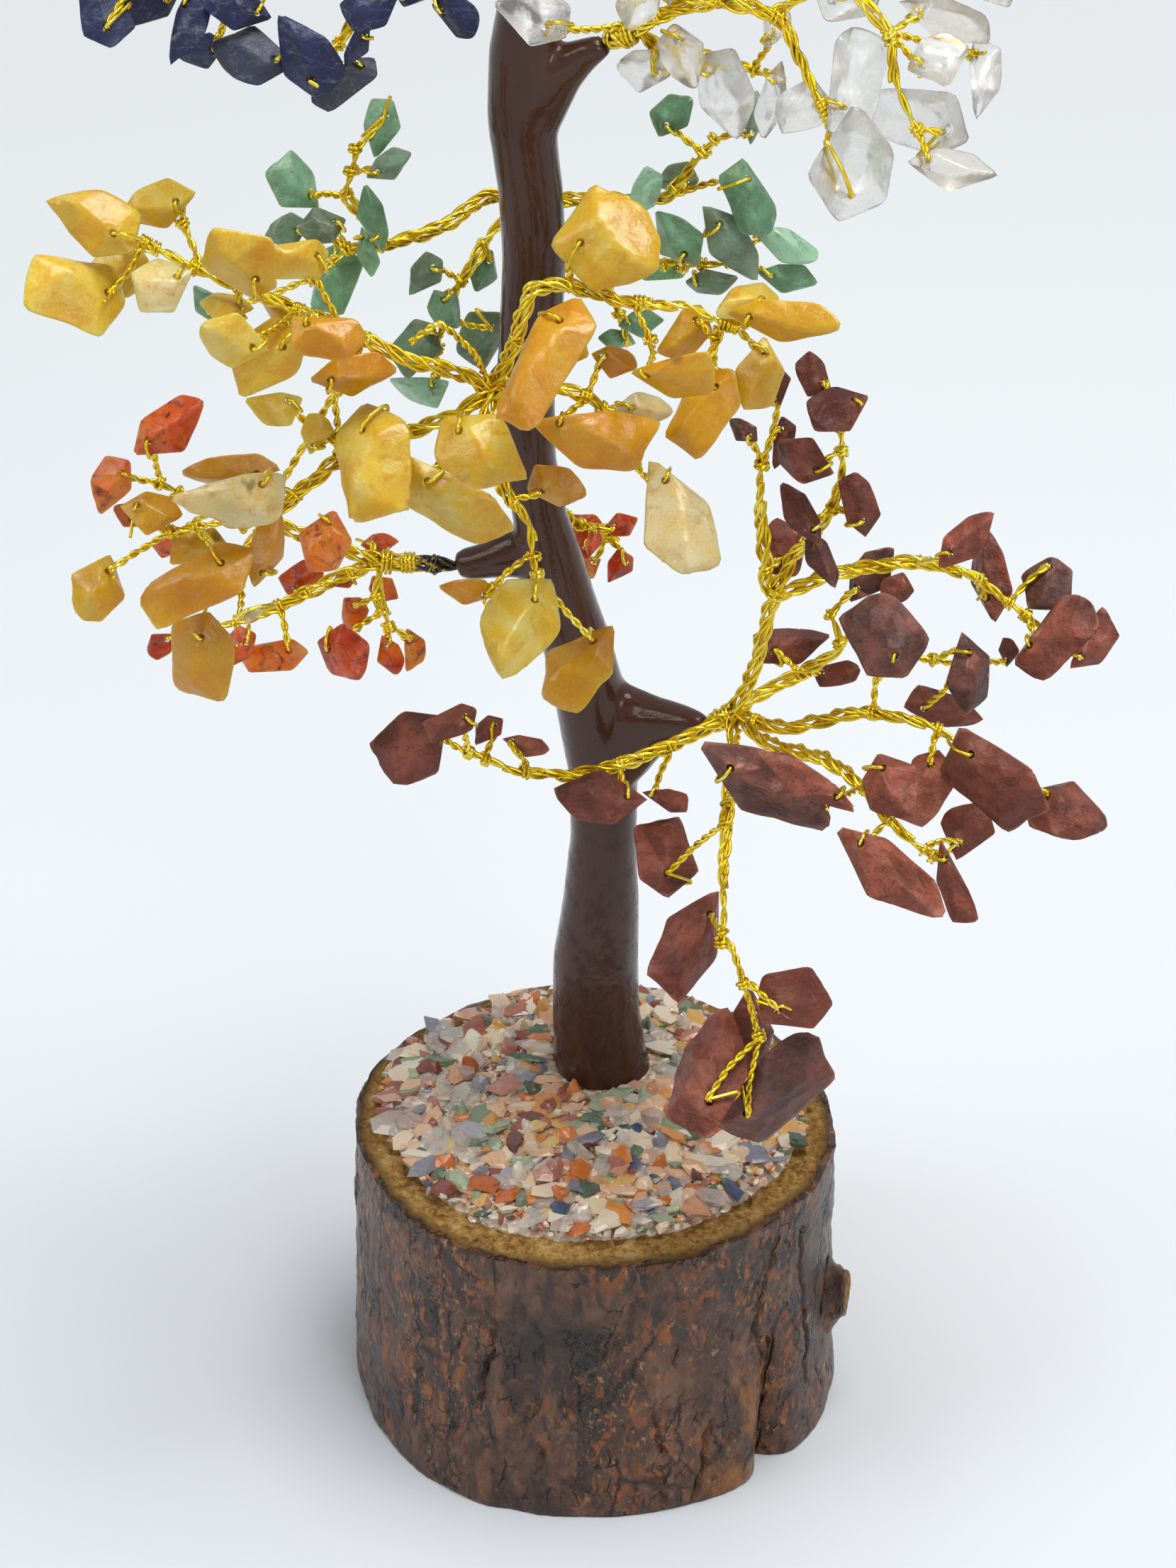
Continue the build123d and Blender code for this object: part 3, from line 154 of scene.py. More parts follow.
def makePiece(node, shape, finish, body="trunk_and_base", marks=None, crease=None, ending=""):
    # A piece in the node's place, named after it; marks are values kept at its points
    points, faces = shape
    name = node.title().replace("_", "") + ending
    mesh = bpy.data.meshes.new(name)
    mesh.vertices.add(len(points))
    mesh.vertices.foreach_set("co", np.asarray(points, np.float32).ravel())
    mesh.loops.add(faces.size)
    mesh.loops.foreach_set("vertex_index", np.asarray(faces, np.int32).ravel())
    mesh.polygons.add(len(faces))
    mesh.polygons.foreach_set("loop_start", np.arange(len(faces), dtype=np.int32) * 3)
    mesh.update(calc_edges=True)
    mesh.shade_smooth()
    if crease is not None:
        mesh.set_sharp_from_angle(angle=math.radians(crease))
    for mark, values in (marks or {}).items():
        kind, key = ("FLOAT", "value") if values.ndim == 1 else ("FLOAT_VECTOR", "vector")
        attribute = mesh.attributes.new(mark, kind, "POINT")
        attribute.data.foreach_set(key, np.asarray(values, np.float32).ravel())
    mesh.materials.append(finish)
    piece = addObject(name, mesh)
    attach(piece, body)
    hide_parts(node)
    return piece


def readRows(mesh, key):
    rows = np.empty(len(mesh.vertices) * 3)
    mesh.vertices.foreach_get(key, rows)
    return rows.reshape(-1, 3)


def readSolids(node):
    # The node's triangles with equal corners merged, sorted into its separate solids
    mesh = frame["nodes"][node].data
    mesh.calc_loop_triangles()
    faces = np.empty(len(mesh.loop_triangles) * 3, np.int32)
    mesh.loop_triangles.foreach_get("vertices", faces)
    points, back = np.unique(np.round(readRows(mesh, "co"), 7), axis=0, return_inverse=True)
    faces = back.reshape(-1)[faces].reshape(-1, 3)
    label = np.arange(len(points))
    while True:   # each corner takes the lowest label of its faces until none changes
        lowest = label[faces].min(axis=1)
        after = label.copy()
        for k in range(3):
            np.minimum.at(after, faces[:, k], lowest)
        if (after == label).all():
            break
        label = after
    solids = []
    for name in np.unique(label):
        used, local = np.unique(faces[label[faces[:, 0]] == name], return_inverse=True)
        solids.append((points[used], local.reshape(-1, 3)))
    return solids


def allPoints(node):
    return np.vstack([points for points, faces in readSolids(node)])


def facePlanes(points, faces):
    # Each face's outward direction and its distance from the origin
    a, b, c = (points[faces[:, k]] for k in range(3))
    normals = unit(np.cross(b - a, c - a))
    return normals, (normals * a).sum(axis=1)


def lattice(u, v, cellsU, cellsV, rng):
    # Smooth noise from 0 to 1: random values on a grid, eased between, that loops round u
    grid = rng.random((cellsU, cellsV + 2))
    i, j = np.floor(u * cellsU).astype(int), np.floor(v * cellsV).astype(int)
    s, t = u * cellsU - i, v * cellsV - j
    s, t = s * s * (3 - 2 * s), t * t * (3 - 2 * t)
    j = np.clip(j, 0, cellsV)
    low = grid[i % cellsU, j] * (1 - s) + grid[(i + 1) % cellsU, j] * s
    high = grid[i % cellsU, j + 1] * (1 - s) + grid[(i + 1) % cellsU, j + 1] * s
    return low * (1 - t) + high * t


class Nodes:
    # Short names for what is put into a node tree

    def __init__(self, tree):
        self.tree = tree

    def feed(self, socket, value):
        if isinstance(value, bpy.types.NodeSocket):
            self.tree.links.new(value, socket)
        else:
            socket.default_value = (*value, 1) if socket.type == "RGBA" else value

    def put(self, kind, settings=None, **inputs):
        # A node with its settings and inputs; i and a number names an input by its place
        node = self.tree.nodes.new("ShaderNode" + kind)
        for key, value in (settings or {}).items():
            setattr(node, key, value)
        for key, value in inputs.items():
            self.feed(node.inputs[int(key[1:]) if key[1:].isdigit() else key], value)
        return node

    def ramp(self, fac, stops, interpolation="LINEAR"):
        node = self.put("ValToRGB", i0=fac)
        node.color_ramp.interpolation = interpolation
        elements = node.color_ramp.elements
        while len(elements) < len(stops):
            elements.new(0.5)
        for element, (position, colour) in zip(elements, stops):
            element.position = position
            element.color = (*colour, 1)
        return node.outputs[0]

    def mask(self, fac, low, high):
        return self.ramp(fac, ((low, black), (high, white)))

    def fade(self, fac, width):
        return self.ramp(fac, ((0.0, white), (width, black)))

    def mix(self, fac, one, two, blend="MIX"):
        settings = {"data_type": "RGBA", "blend_type": blend}
        return self.put("Mix", settings, i0=fac, i6=one, i7=two).outputs[2]

    def maths(self, operation, one, two=0.0):
        return self.put("Math", {"operation": operation}, i0=one, i1=two).outputs[0]

    def times(self, one, two):
        return self.maths("MULTIPLY", one, two)

    def greater(self, one, two):
        return self.maths("MAXIMUM", one, two)

    def weighted(self, *terms, start=0.0):
        # A start plus each value times its weight
        for value, weight in terms:
            start = self.maths("ADD", start, self.times(value, weight))
        return start

    def mapped(self, value, low, high, first=0.0, second=1.0):
        return self.put("MapRange", Value=value, i1=low, i2=high, i3=first, i4=second).outputs[0]

    def noise(self, vector, scale, detail=2.0, roughness=0.5, distortion=0.0):
        return self.put("TexNoise", Vector=vector, Scale=scale, Detail=detail, Roughness=roughness,
                        Distortion=distortion).outputs["Fac"]

    def stretched(self, vector, scale, turn=(0, 0, 0)):
        return self.put("Mapping", Vector=vector, Scale=scale, Rotation=turn).outputs[0]

    def axis(self, vector, k):
        return self.put("SeparateXYZ", Vector=vector).outputs[k]

    def mark(self, name, output="Fac"):
        return self.put("Attribute", {"attribute_name": name}).outputs[output]

    def place(self):
        return self.put("TexCoord").outputs["Object"]


class Finish(Nodes):
    # A new material's tree

    def __init__(self, name):
        self.material = bpy.data.materials.new(name)
        self.material.use_nodes = True
        super().__init__(self.material.node_tree)
        self.shader = self.tree.nodes["Principled BSDF"]

    def shade(self, bump=None, strength=0.3, distance=0.0003, **inputs):
        for key, value in inputs.items():
            self.feed(self.shader.inputs[key.replace("_", " ")], value)
        if bump is not None:
            bumped = self.put("Bump", Height=bump, Strength=strength, Distance=distance).outputs[0]
            self.feed(self.shader.inputs["Normal"], bumped)
            self.feed(self.shader.inputs["Coat Normal"], bumped)
        return self.material


# Finishes of the stones, on places kept in millimetres in each stone's own axes

stoneLooks = {
    "jasper": dict(
        tones=((0.00, (0.085, 0.026, 0.018)), (0.35, (0.200, 0.050, 0.030)), (0.70, (0.400, 0.105, 0.062)),
               (1.00, (0.620, 0.250, 0.160))),
        patch=(0.125, 0.088, 0.062), patchShare=(0.64, 0.80), vein=(0.040, 0.014, 0.012), veinMix=0.55,
        other=(0.135, 0.068, 0.056), facetShadeMix=0.80, scallop=2.0, cloud=0.16, bump=0.62, edge=0.80,
        specular=0.26),
    "carnelian": dict(
        tones=((0.00, (0.24, 0.010, 0.003)), (0.20, (0.66, 0.045, 0.004)), (0.42, (1.00, 0.160, 0.006)),
               (0.68, (1.00, 0.310, 0.014)), (1.00, (1.00, 0.480, 0.110))),
        patch=(0.20, 0.022, 0.010), patchShare=(0.52, 0.70), vein=(1.00, 0.50, 0.20), veinMix=0.20,
        other=(0.34, 0.050, 0.030), facetShadeMix=0.22, rough=(0.04, 0.16), cloud=0.20, scatter=0.55, clear=0.36,
        edge=0.30, specular=0.40),
    "citrine": dict(
        tones=((0.00, (0.66, 0.240, 0.001)), (0.24, (0.76, 0.330, 0.003)), (0.50, (0.85, 0.450, 0.006)),
               (0.76, (0.92, 0.640, 0.050)), (1.00, (0.95, 0.840, 0.300))),
        patch=(0.76, 0.330, 0.020), patchShare=(0.54, 0.80), vein=(0.46, 0.20, 0.02), veinWidth=0.008,
        veinMix=0.20, other=(0.90, 0.860, 0.520), otherShare=0.16, flaw=0.7, facetShadeMix=0.26,
        rough=(0.07, 0.22), scallop=1.1, cloud=0.15, bump=0.26, scatter=0.60, clear=0.22),
    "aventurine": dict(
        tones=((0.00, (0.070, 0.180, 0.085)), (0.28, (0.190, 0.430, 0.220)), (0.52, (0.330, 0.680, 0.400)),
               (0.88, (0.580, 0.900, 0.660))),
        patch=(0.23, 0.30, 0.17), patchShare=(0.54, 0.76), vein=(0.50, 0.70, 0.55), veinWidth=0.014,
        other=(0.200, 0.245, 0.150), otherShare=0.28, facetShadeMix=0.30, rough=(0.06, 0.20), scallop=1.3,
        scatter=0.35, clear=0.35),
    "quartz": dict(
        tones=((0.00, (0.96, 0.93, 0.88)), (0.50, (0.98, 0.97, 0.95)), (1.00, (1.0, 1.0, 1.0))),
        patch=(0.97, 0.91, 0.82), patchShare=(0.60, 0.85), vein=(1.0, 1.0, 1.0), veinWidth=0.030,
        veinMix=0.35, other=(0.96, 0.89, 0.78), otherShare=0.20, facetShadeMix=0.05, rough=(0.05, 0.26),
        scallop=1.5, cloud=0.24, bump=0.26, scatter=0.10, clear=0.90, edge=0.20, specular=0.5),
    "lapis": dict(
        tones=((0.00, (0.007, 0.009, 0.040)), (0.45, (0.018, 0.024, 0.100)), (0.72, (0.050, 0.062, 0.135)),
               (1.00, (0.130, 0.145, 0.180))),
        patch=(0.19, 0.20, 0.23), vein=(0.28, 0.29, 0.31), veinWidth=0.014, other=(0.070, 0.076, 0.095),
        otherShare=0.25, facetShadeMix=0.45, scallop=1.6, cloud=0.20, bump=0.50, edge=0.50, specular=0.32),
    "amethyst": dict(
        tones=((0.00, (0.09, 0.028, 0.17)), (0.45, (0.25, 0.100, 0.43)), (0.75, (0.46, 0.27, 0.64)),
               (1.00, (0.74, 0.60, 0.84))),
        patch=(0.74, 0.68, 0.82), patchShare=(0.56, 0.82), vein=(0.82, 0.78, 0.88),
        other=(0.70, 0.640, 0.780), otherShare=0.15, facetShadeMix=0.25, rough=(0.08, 0.24), bump=0.34,
        scatter=0.20, clear=0.50, edge=0.40, specular=0.4),
}


def stoneMaterial(name, tones, patch, vein, other, facetShadeMix, patchShare=(0.60, 0.80), veinWidth=0.020,
                  veinMix=0.30, otherShare=0.12, flaw=0.0, rough=(0.26, 0.46), scallop=1.4, cloud=0.22,
                  bump=0.32, scatter=0.0, clear=0.0, edge=0.35, specular=0.42):
    f = Finish(name)
    place, tone = f.mark("stonePlace", "Vector"), f.mark("tone")
    # The stone's own tone, moved up and down by soft clouds
    clouds = f.noise(place, cloud, 3.0, 0.55, 0.6)
    colour = f.ramp(f.weighted((tone, 0.62), (clouds, 1.00), start=-0.32), tones)
    # Some stones are of another sort: those whose tone times 53 ends in a small fraction
    odd = f.maths("LESS_THAN", f.maths("FRACT", f.times(tone, 53.0)), otherShare)
    colour = f.mix(f.times(odd, f.mapped(clouds, 0.3, 0.6, 0.95, 0.55)), colour, other)
    colour = f.mix(f.mask(f.noise(place, cloud * 2.1, 4.0, 0.6, 1.2), *patchShare), colour, patch)
    # Veins lie where a stretched noise crosses its middle value
    veinNoise = f.noise(f.stretched(place, (0.12, 0.34, 0.24), (0.4, 0.3, 0.2)), 1.0, 3.0, 0.6, 0.8)
    veins = f.fade(f.maths("ABSOLUTE", f.maths("SUBTRACT", veinNoise, 0.5)), veinWidth)
    colour = f.mix(f.times(veins, veinMix), colour, vein)
    if flaw:   # a few dark brown inclusions and specks
        dark = f.mask(f.noise(place, 0.085, 3.0, 0.55, 0.6), 0.665, 0.72)
        specks = f.mask(f.noise(place, 1.5, 3.0, 0.6), 0.70, 0.76)
        colour = f.mix(f.times(f.greater(dark, f.times(specks, 0.35)), flaw), colour, (0.130, 0.070, 0.040))
    # Painted shade: each flat of a stone is a little lighter or darker than the next, in place of the light and
    # shade that falls differently on each flat
    colour = f.mix(facetShadeMix, colour, f.ramp(f.mark("facet"), ((0.0, (0.45,) * 3), (1.0, white))), "MULTIPLY")
    # Worn edges are paler, and sugary grains show within
    edges = f.mask(f.put("NewGeometry").outputs["Pointiness"], 0.53, 0.64)
    sugar = f.mask(f.noise(place, 1.3, 3.0, 0.6), 0.52, 0.72)
    colour = f.mix(f.greater(f.times(edges, edge), f.times(sugar, 0.10)), colour, tones[-1][1])
    grain = f.noise(place, 2.6, 4.0, 0.65)
    colour = f.mix(f.mask(grain, 0.35, 0.75), f.mix(0.14, colour, black, "MULTIPLY"), colour)
    pits = f.noise(place, 0.9, 5.0, 0.62, 0.5)
    # Shallow scallops where flakes have come off
    scallops = f.put("TexVoronoi", {"feature": "SMOOTH_F1"}, Vector=place, Scale=0.32, Smoothness=0.2)
    height = f.weighted((pits, 0.6), (grain, 0.15), (scallops.outputs["Distance"], scallop))
    return f.shade(height, bump, 0.0009, Base_Color=colour, Roughness=f.mapped(pits, 0.3, 0.7, *rough),
                   Specular_IOR_Level=specular, Transmission_Weight=clear, Subsurface_Weight=scatter,
                   Subsurface_Radius=(1.0, 0.62, 0.22), Subsurface_Scale=0.0026, IOR=1.54)


stoneFinish = {name: stoneMaterial(name + "Stone", **look) for name, look in stoneLooks.items()}


# Finish of the wire

def giltMaterial():
    f = Finish("giltWire")
    place = f.place()
    wear = f.noise(place, 240.0, 3.0, 0.6)
    colour = f.ramp(wear, ((0.30, (0.56, 0.36, 0.012)), (0.50, (0.90, 0.66, 0.030)),
                           (0.72, (1.0, 0.86, 0.15))))
    # Brown paint has run on along the wires from the stubs
    flaked = f.times(f.noise(place, 900.0, 3.0, 0.6), 1.4)
    painted = f.mask(f.times(f.mark("paint"), flaked), 0.42, 0.56)
    return f.shade(f.noise(place, 1500.0, 2.0, 0.5), 0.25, 0.00008,
                   Base_Color=f.mix(painted, colour, (0.030, 0.016, 0.012)),
                   Metallic=f.mapped(painted, 0.0, 1.0, 0.94, 0.0),
                   Roughness=f.mapped(wear, 0.3, 0.7, 0.30, 0.17))


gilt = giltMaterial()
print("finishes of stones and wire made")


# Chips: drilled, tumbled stones

stoneShape = {"columns": 54, "rows": 27, "boreRadius": 0.60 * mm, "innerShare": 0.86, "innerDepth": 0.78,
              "grow": 1.05}
# Sharpness of the flats, cuts and the least and greatest share that they leave, waves, ripples
stoneForms = {
    "jasper": (55, 6, 0.82, 0.97, 0.045, 0.014),
    "carnelian": (24, 5, 0.82, 0.97, 0.060, 0.020),
    "citrine": (22, 5, 0.85, 0.98, 0.070, 0.018),
    "aventurine": (22, 4, 0.85, 0.98, 0.055, 0.014),
    "quartz": (24, 5, 0.84, 0.98, 0.060, 0.018),
    "lapis": (26, 4, 0.85, 0.98, 0.045, 0.014),
    "amethyst": (24, 5, 0.84, 0.98, 0.050, 0.016),
}


def boreOf(points, faces, normals, heights):
    # Faces with points well to both sides of them are the bore's walls; the bore runs square to them all
    inside = (points @ normals.T - heights).max(axis=0) > 0.1 * mm
    axis = np.linalg.svd(normals[inside])[2][2]
    rim = np.unique(faces[inside])
    along = points[rim] @ axis
    split = (along.min() + along.max()) / 2
    high = points[rim[along > split]].mean(axis=0)
    low = points[rim[along <= split]].mean(axis=0)
    return ~inside, np.setdiff1d(np.arange(len(points)), rim), high, low, axis


def widestRing(normals, heights, heart, out, axis):
    # The hull's farthest place in each direction: in the plane of that direction and the bore's, the
    # farthest crossing of two flats that lies inside all the others
    a, b, c = out @ normals.T, normals @ axis, heights - normals @ heart
    i, j = np.triu_indices(len(b), 1)
    cross = a[:, i] * b[j] - a[:, j] * b[i]
    cross = np.where(np.abs(cross) < 1e-6, 1e-6, cross)
    far = (c[i] * b[j] - c[j] * b[i]) / cross
    rise = (a[:, i] * c[j] - a[:, j] * c[i]) / cross
    over = (a[:, None] * far[..., None] + b * rise[..., None] - c).max(axis=-1)
    far = np.where(over < 1e-6, far, 0)
    best = far.max(axis=1)
    near = far > best[:, None] - 0.05 * mm
    rise = (rise * near).sum(axis=1) / near.sum(axis=1)
    return heart + out * best[:, None] + axis * rise[:, None]


def drilledStone(points, faces, form, rng):
    # The stone's shape and the marks on it, and its bore with the way and width to each side of it
    power, cutCount, leastShare, mostShare, wave, ripple = form
    normals, heights = facePlanes(points, faces)
    hull, body, high, low, axis = boreOf(points, faces, normals, heights)
    # Each flat counts once, however many triangles it has
    key = np.round(np.column_stack([normals * 10, heights / mm])[hull], 1)
    single = np.unique(key, axis=0, return_index=True)[1]
    normals, heights = normals[hull][single], heights[hull][single]
    middle = (high + low) / 2
    centre = points[body].mean(axis=0)
    # A few more flats, each set a little way in from the corner that it takes off
    cuts = unit(rng.normal(size=(cutCount, 3)))
    reach = (cuts @ points[body].T).max(axis=1)
    share = rng.uniform(leastShare, mostShare, cutCount)
    cutHeights = cuts @ middle + share * (reach - cuts @ middle)
    normals, heights = np.vstack([normals, cuts]), np.concatenate([heights, cutHeights])
    first, second = sideways(axis)
    out = circled(ringAngles(stoneShape["columns"]), first, second)
    heart = centre - axis * ((centre - middle) @ axis)
    widest = widestRing(normals, heights, heart, out, axis) - middle
    rise = widest @ axis
    lateral = widest - axis * rise[:, None]
    width = lengths(lateral)
    lateral = unit(lateral)
    # From one mouth of the bore over the widest ring to the other: sideways by a sine, along by a cosine
    bend = np.linspace(0, math.pi, stoneShape["rows"])[:, None]
    hole = stoneShape["boreRadius"]
    half = lengths(high - low) / 2
    sideReach = hole + (width - hole) * np.sin(bend)
    along = half * np.cos(bend) + rise * np.sin(bend) ** 2
    ray = lateral * sideReach[..., None] + axis * along[..., None]
    # The flats' softened greatest value says how far along each ray the surface lies
    depth = np.maximum(ray @ normals.T / (heights - normals @ middle), 0)
    surface = ray / softGreatest(depth, power)[..., None]
    # A random value for each flat, which sets its painted shade
    facet = rng.random(len(heights))[depth.argmax(axis=-1)]
    # Broad waves and finer ripples, none at the bore's mouths
    spread = np.repeat((550, 2200), (4, 6))[:, None]
    waves, phases = rng.normal(size=(10, 3)) * spread, rng.uniform(0, fullTurn, 10)
    swing = np.sin(surface @ waves.T + phases)
    swing = wave * swing[..., :4].mean(axis=-1) + ripple * swing[..., 4:].mean(axis=-1)
    away = lengths(surface - axis * (surface @ axis)[..., None])
    swing = swing * np.clip((away - hole) / (2 * hole), 0, 1)
    surface = surface * (stoneShape["grow"] - swing)[..., None]
    # Back through the bore
    inner = lateral * hole * stoneShape["innerShare"]
    throat = inner[None] + ((surface[[-1, 0]] @ axis) * stoneShape["innerDepth"])[..., None] * axis
    rows = middle + np.concatenate([surface, throat[:1], throat.mean(axis=0, keepdims=True), throat[1:]])
    shape = rows.reshape(-1, 3)
    triangles = outward(shape, gridFaces(len(rows), stoneShape["columns"], loopRows=True))
    spot = np.stack([(shape - centre) @ way for way in (first, second, axis)], 1) / mm
    noFacetShade = np.zeros(3 * stoneShape["columns"])
    marks = spot + rng.uniform(-50, 50, 3), np.concatenate([facet.ravel(), noFacetShade])
    return (shape, triangles), marks, (middle, high, low, axis, lateral, width, half)


# Darkest and lightest tone of the sprays that differ from the rest
stoneTones = {
    "jasper_upper": (0.15, 0.55), "jasper_outer": (0.15, 0.75), "jasper_lower": (0.45, 1.00),
    "jasper_hanging": (0.25, 0.70), "jasper_left": (0.35, 0.90), "citrine_tip": (0.60, 1.05),
    "citrine_left": (0.12, 1.05), "citrine_front": (0.10, 1.05), "citrine_right": (0.15, 1.00),
}
bores = {}
for body, nodes in bodies.items():
    for node in nodes:
        if not node.endswith("_chips"):
            continue
        stone = node.split("_")[0]
        rng = np.random.default_rng(sum(node.encode()))
        made = [drilledStone(*solid, stoneForms[stone], rng) for solid in readSolids(node)]
        points, faces, owner = join([shape for shape, marks, bore in made])
        deepest, lightest = stoneTones.get(node[:-6], (0.1, 0.9))
        tones = deepest + (lightest - deepest) * rng.random(len(made)) ** 1.5
        spots, facetShades = (np.concatenate([marks[k] for shape, marks, bore in made]) for k in range(2))
        makePiece(node, (points, faces), stoneFinish[stone], body,
                  {"stonePlace": spots, "tone": tones[owner], "facet": facetShades})
        bores.setdefault(body, []).extend(bore for shape, marks, bore in made)
print("chips made:", sum(len(rows) for rows in bores.values()))


# Wires

wire = {"radius": 0.28 * mm, "pairPitch": 3.7 * mm, "plyPitch": 17.0 * mm, "rootPitch": 14 * mm,
        "step": 0.30 * mm, "sides": 6, "limbTurns": 2.6, "twigTurns": 1.8, "limbWrap": 0.95 * mm,
        "twigWrap": 0.85 * mm, "wrapUneven": 0.12, "bundleSlack": 1.9, "rootWires": 6, "rootTurn": 1.257,
        "secondPly": 0.74 * mm, "thirdPly": 0.83 * mm, "spread": (0.0, 2.1, 2.7), "looseEnds": 0.35,
        "paintReach": {"carnelian": 9.0 * mm}, "paintEdge": 1.6 * mm}
# Bindings of a bough's root: share of the way out, turns, radius in millimetres
rootBindings = (0.30, 2.5, 1.30), (0.62, 3.2, 1.45), (0.92, 3.0, 1.75)


def smoothPath(points, ease=0.55):
    # Cubic runs through the points, eased towards straight, resampled at even lengths
    points = np.asarray(points)
    slopes = np.gradient(points, axis=0) * ease
    t = np.linspace(0, 1, 24)[:, None, None]
    a, b, m, n = points[:-1], points[1:], slopes[:-1], slopes[1:]
    dense = (a * (2 * t**3 - 3 * t**2 + 1) + m * (t**3 - 2 * t**2 + t)
             + b * (3 * t**2 - 2 * t**3) + n * (t**3 - t**2))
    dense = dense.transpose(1, 0, 2).reshape(-1, 3)
    run = np.concatenate([[0], np.cumsum(lengths(np.diff(dense, axis=0)))])
    marks = np.linspace(0, run[-1], max(4, int(run[-1] / wire["step"])))
    return np.stack([np.interp(marks, run, dense[:, k]) for k in range(3)], 1), marks


def crossAxes(path):
    # Section axes from the direction that lies most nearly square to the whole path
    along = unit(np.gradient(path, axis=0))
    flat = np.linalg.svd(along, full_matrices=False)[2][2]
    first = unit(np.cross(along, flat))
    return first, np.cross(along, first)


def tube(path, radius=wire["radius"]):
    # A circle carried along the path
    first, second = crossAxes(path)
    circle = circled(ringAngles(wire["sides"]), first[:, None], second[:, None])
    return closedRings(path[:, None] + radius * circle, path[[0, -1]])


def coil(path, run, radius, pitch, phase):
    # A line that winds round the path at a given radius and pitch
    turns = circled(fullTurn * run / pitch + phase, *crossAxes(path))
    return path + np.reshape(radius, (-1, 1)) * turns


def twistedPair(path, run, rng, slack=1.0):
    phase = rng.uniform(0, fullTurn)
    pitch = wire["pairPitch"] * slack * rng.uniform(0.85, 1.2)
    return [tube(coil(path, run, wire["radius"], pitch, phase + side)) for side in (0, math.pi)]


def bundle(path, run, plies, rng):
    # Twisted pairs laid round each other; all but the first end part of the way along
    parts = []
    radius = wire["spread"][plies - 1] * wire["radius"] * np.minimum(1, 0.15 + 1.6 * (1 - run / run[-1]))
    for k in range(plies):
        end = 1.0 if k == 0 else rng.uniform(0.60, 0.95)
        kept = slice(0, max(4, int(len(path) * end)))
        line = coil(path, run, radius, wire["plyPitch"], fullTurn * k / plies)[kept]
        parts += twistedPair(line, run[kept], rng, wire["bundleSlack"] if plies > 1 else 1.0)
    return parts


def wrap(centre, along, radius, turns, rng):
    # A short helix round a line, its radius a little uneven
    steps = np.linspace(0, 1, int(turns * 13) + 2)
    angle = fullTurn * turns * steps + rng.uniform(0, fullTurn)
    out = radius * (1 + wire["wrapUneven"] * rng.standard_normal() * np.sin(math.pi * steps * 3))
    lift = (steps - 0.5) * turns * wire["radius"] * 2.2
    return tube(centre + along * lift[:, None] + out[:, None] * circled(angle, *sideways(along)))


def ringCentres(points, faces, sides):
    # The middles and radii of a rod's rings, in order, found by walking from one end of it
    if len(points) == 2 * sides:
        long = np.linalg.svd(points - points.mean(axis=0))[2][0]
        order = np.argsort(points @ long)
        layers = [order[:sides], order[sides:]]
    else:
        near = np.zeros((len(points), len(points)), bool)
        near[faces, np.roll(faces, -1, axis=1)] = True
        near |= near.T
        ends = near.sum(axis=1) < 6
        front = np.zeros(len(points), bool)
        front[np.flatnonzero(ends)[0]] = True
        for _ in range(sides):
            front |= near[front].any(axis=0) & ends
        seen, layers = np.zeros(len(points), bool), []
        while front.any():
            layers.append(np.flatnonzero(front))
            seen |= front
            front = near[front].any(axis=0) & ~seen
    middles = np.array([points[layer].mean(axis=0) for layer in layers])
    radii = np.array([lengths(points[layer] - middle).min()
                      for layer, middle in zip(layers, middles)])
    return middles, radii


def nearestOn(lines, point):
    # The nearest place on a set of paths, and the path's direction there
    gaps, path = min(((lengths(path - point), path) for path in lines),
                     key=lambda pair: pair[0].min())
    k = int(gaps.argmin())
    return path[k], unit(path[min(k + 1, len(path) - 1)] - path[max(k - 1, 0)])


def threadedLoop(start, twigEnd, bore):
    # Through the bore, out behind, round the edge that lies near and towards the twig, and back to it
    middle, high, low, axis, lateral, width, half = bore
    if (twigEnd - middle) @ axis < 0:
        axis, high, low = -axis, low, high
    toward = lateral @ unit(start - middle)
    k = int((width * (1.28 - toward)).argmin())
    side, edge = lateral[k], width[k]
    over = wire["radius"] * 1.6
    points = [twigEnd, high + axis * over * 0.5, middle, low - axis * over * 0.6]
    if toward[k] < 0.2:   # no such edge: only a short hook behind
        points.append(low - axis * over + side * 1.4 * mm)
    else:
        points += [low - axis * over + side * edge * 0.55, middle + side * (edge + over) - axis * half * 0.25,
                   middle + side * (edge + over * 0.9) + axis * half * 0.5, twigEnd + side * over * 0.9]
    return smoothPath(points, 0.8)[0]


def rootParts(pivot, knuckle, rng):
    # A loose bundle from the stub's tip to the knuckle, bound round
    line, run = smoothPath([pivot + (pivot - knuckle) * 0.06, (pivot + knuckle) / 2, knuckle])
    parts = []
    last = wire["rootWires"] - 1
    for k in range(last + 1):   # the last one runs inside the others
        radius = np.interp(run / run[-1], (0, 0.25, 1), (0.2, 1.0, 1.15)) * (1.0 if k < last else 0.1) * mm
        strand = coil(line, run, radius, wire["rootPitch"], k * wire["rootTurn"])
        parts.append(tube(strand, wire["radius"] * 1.15))
    along = unit(knuckle - pivot)
    for share, turns, size in rootBindings:
        tilt = unit(along + 0.35 * rng.standard_normal(3))
        parts.append(wrap(pivot + (knuckle - pivot) * share, tilt, size * mm, turns, rng))
    return parts


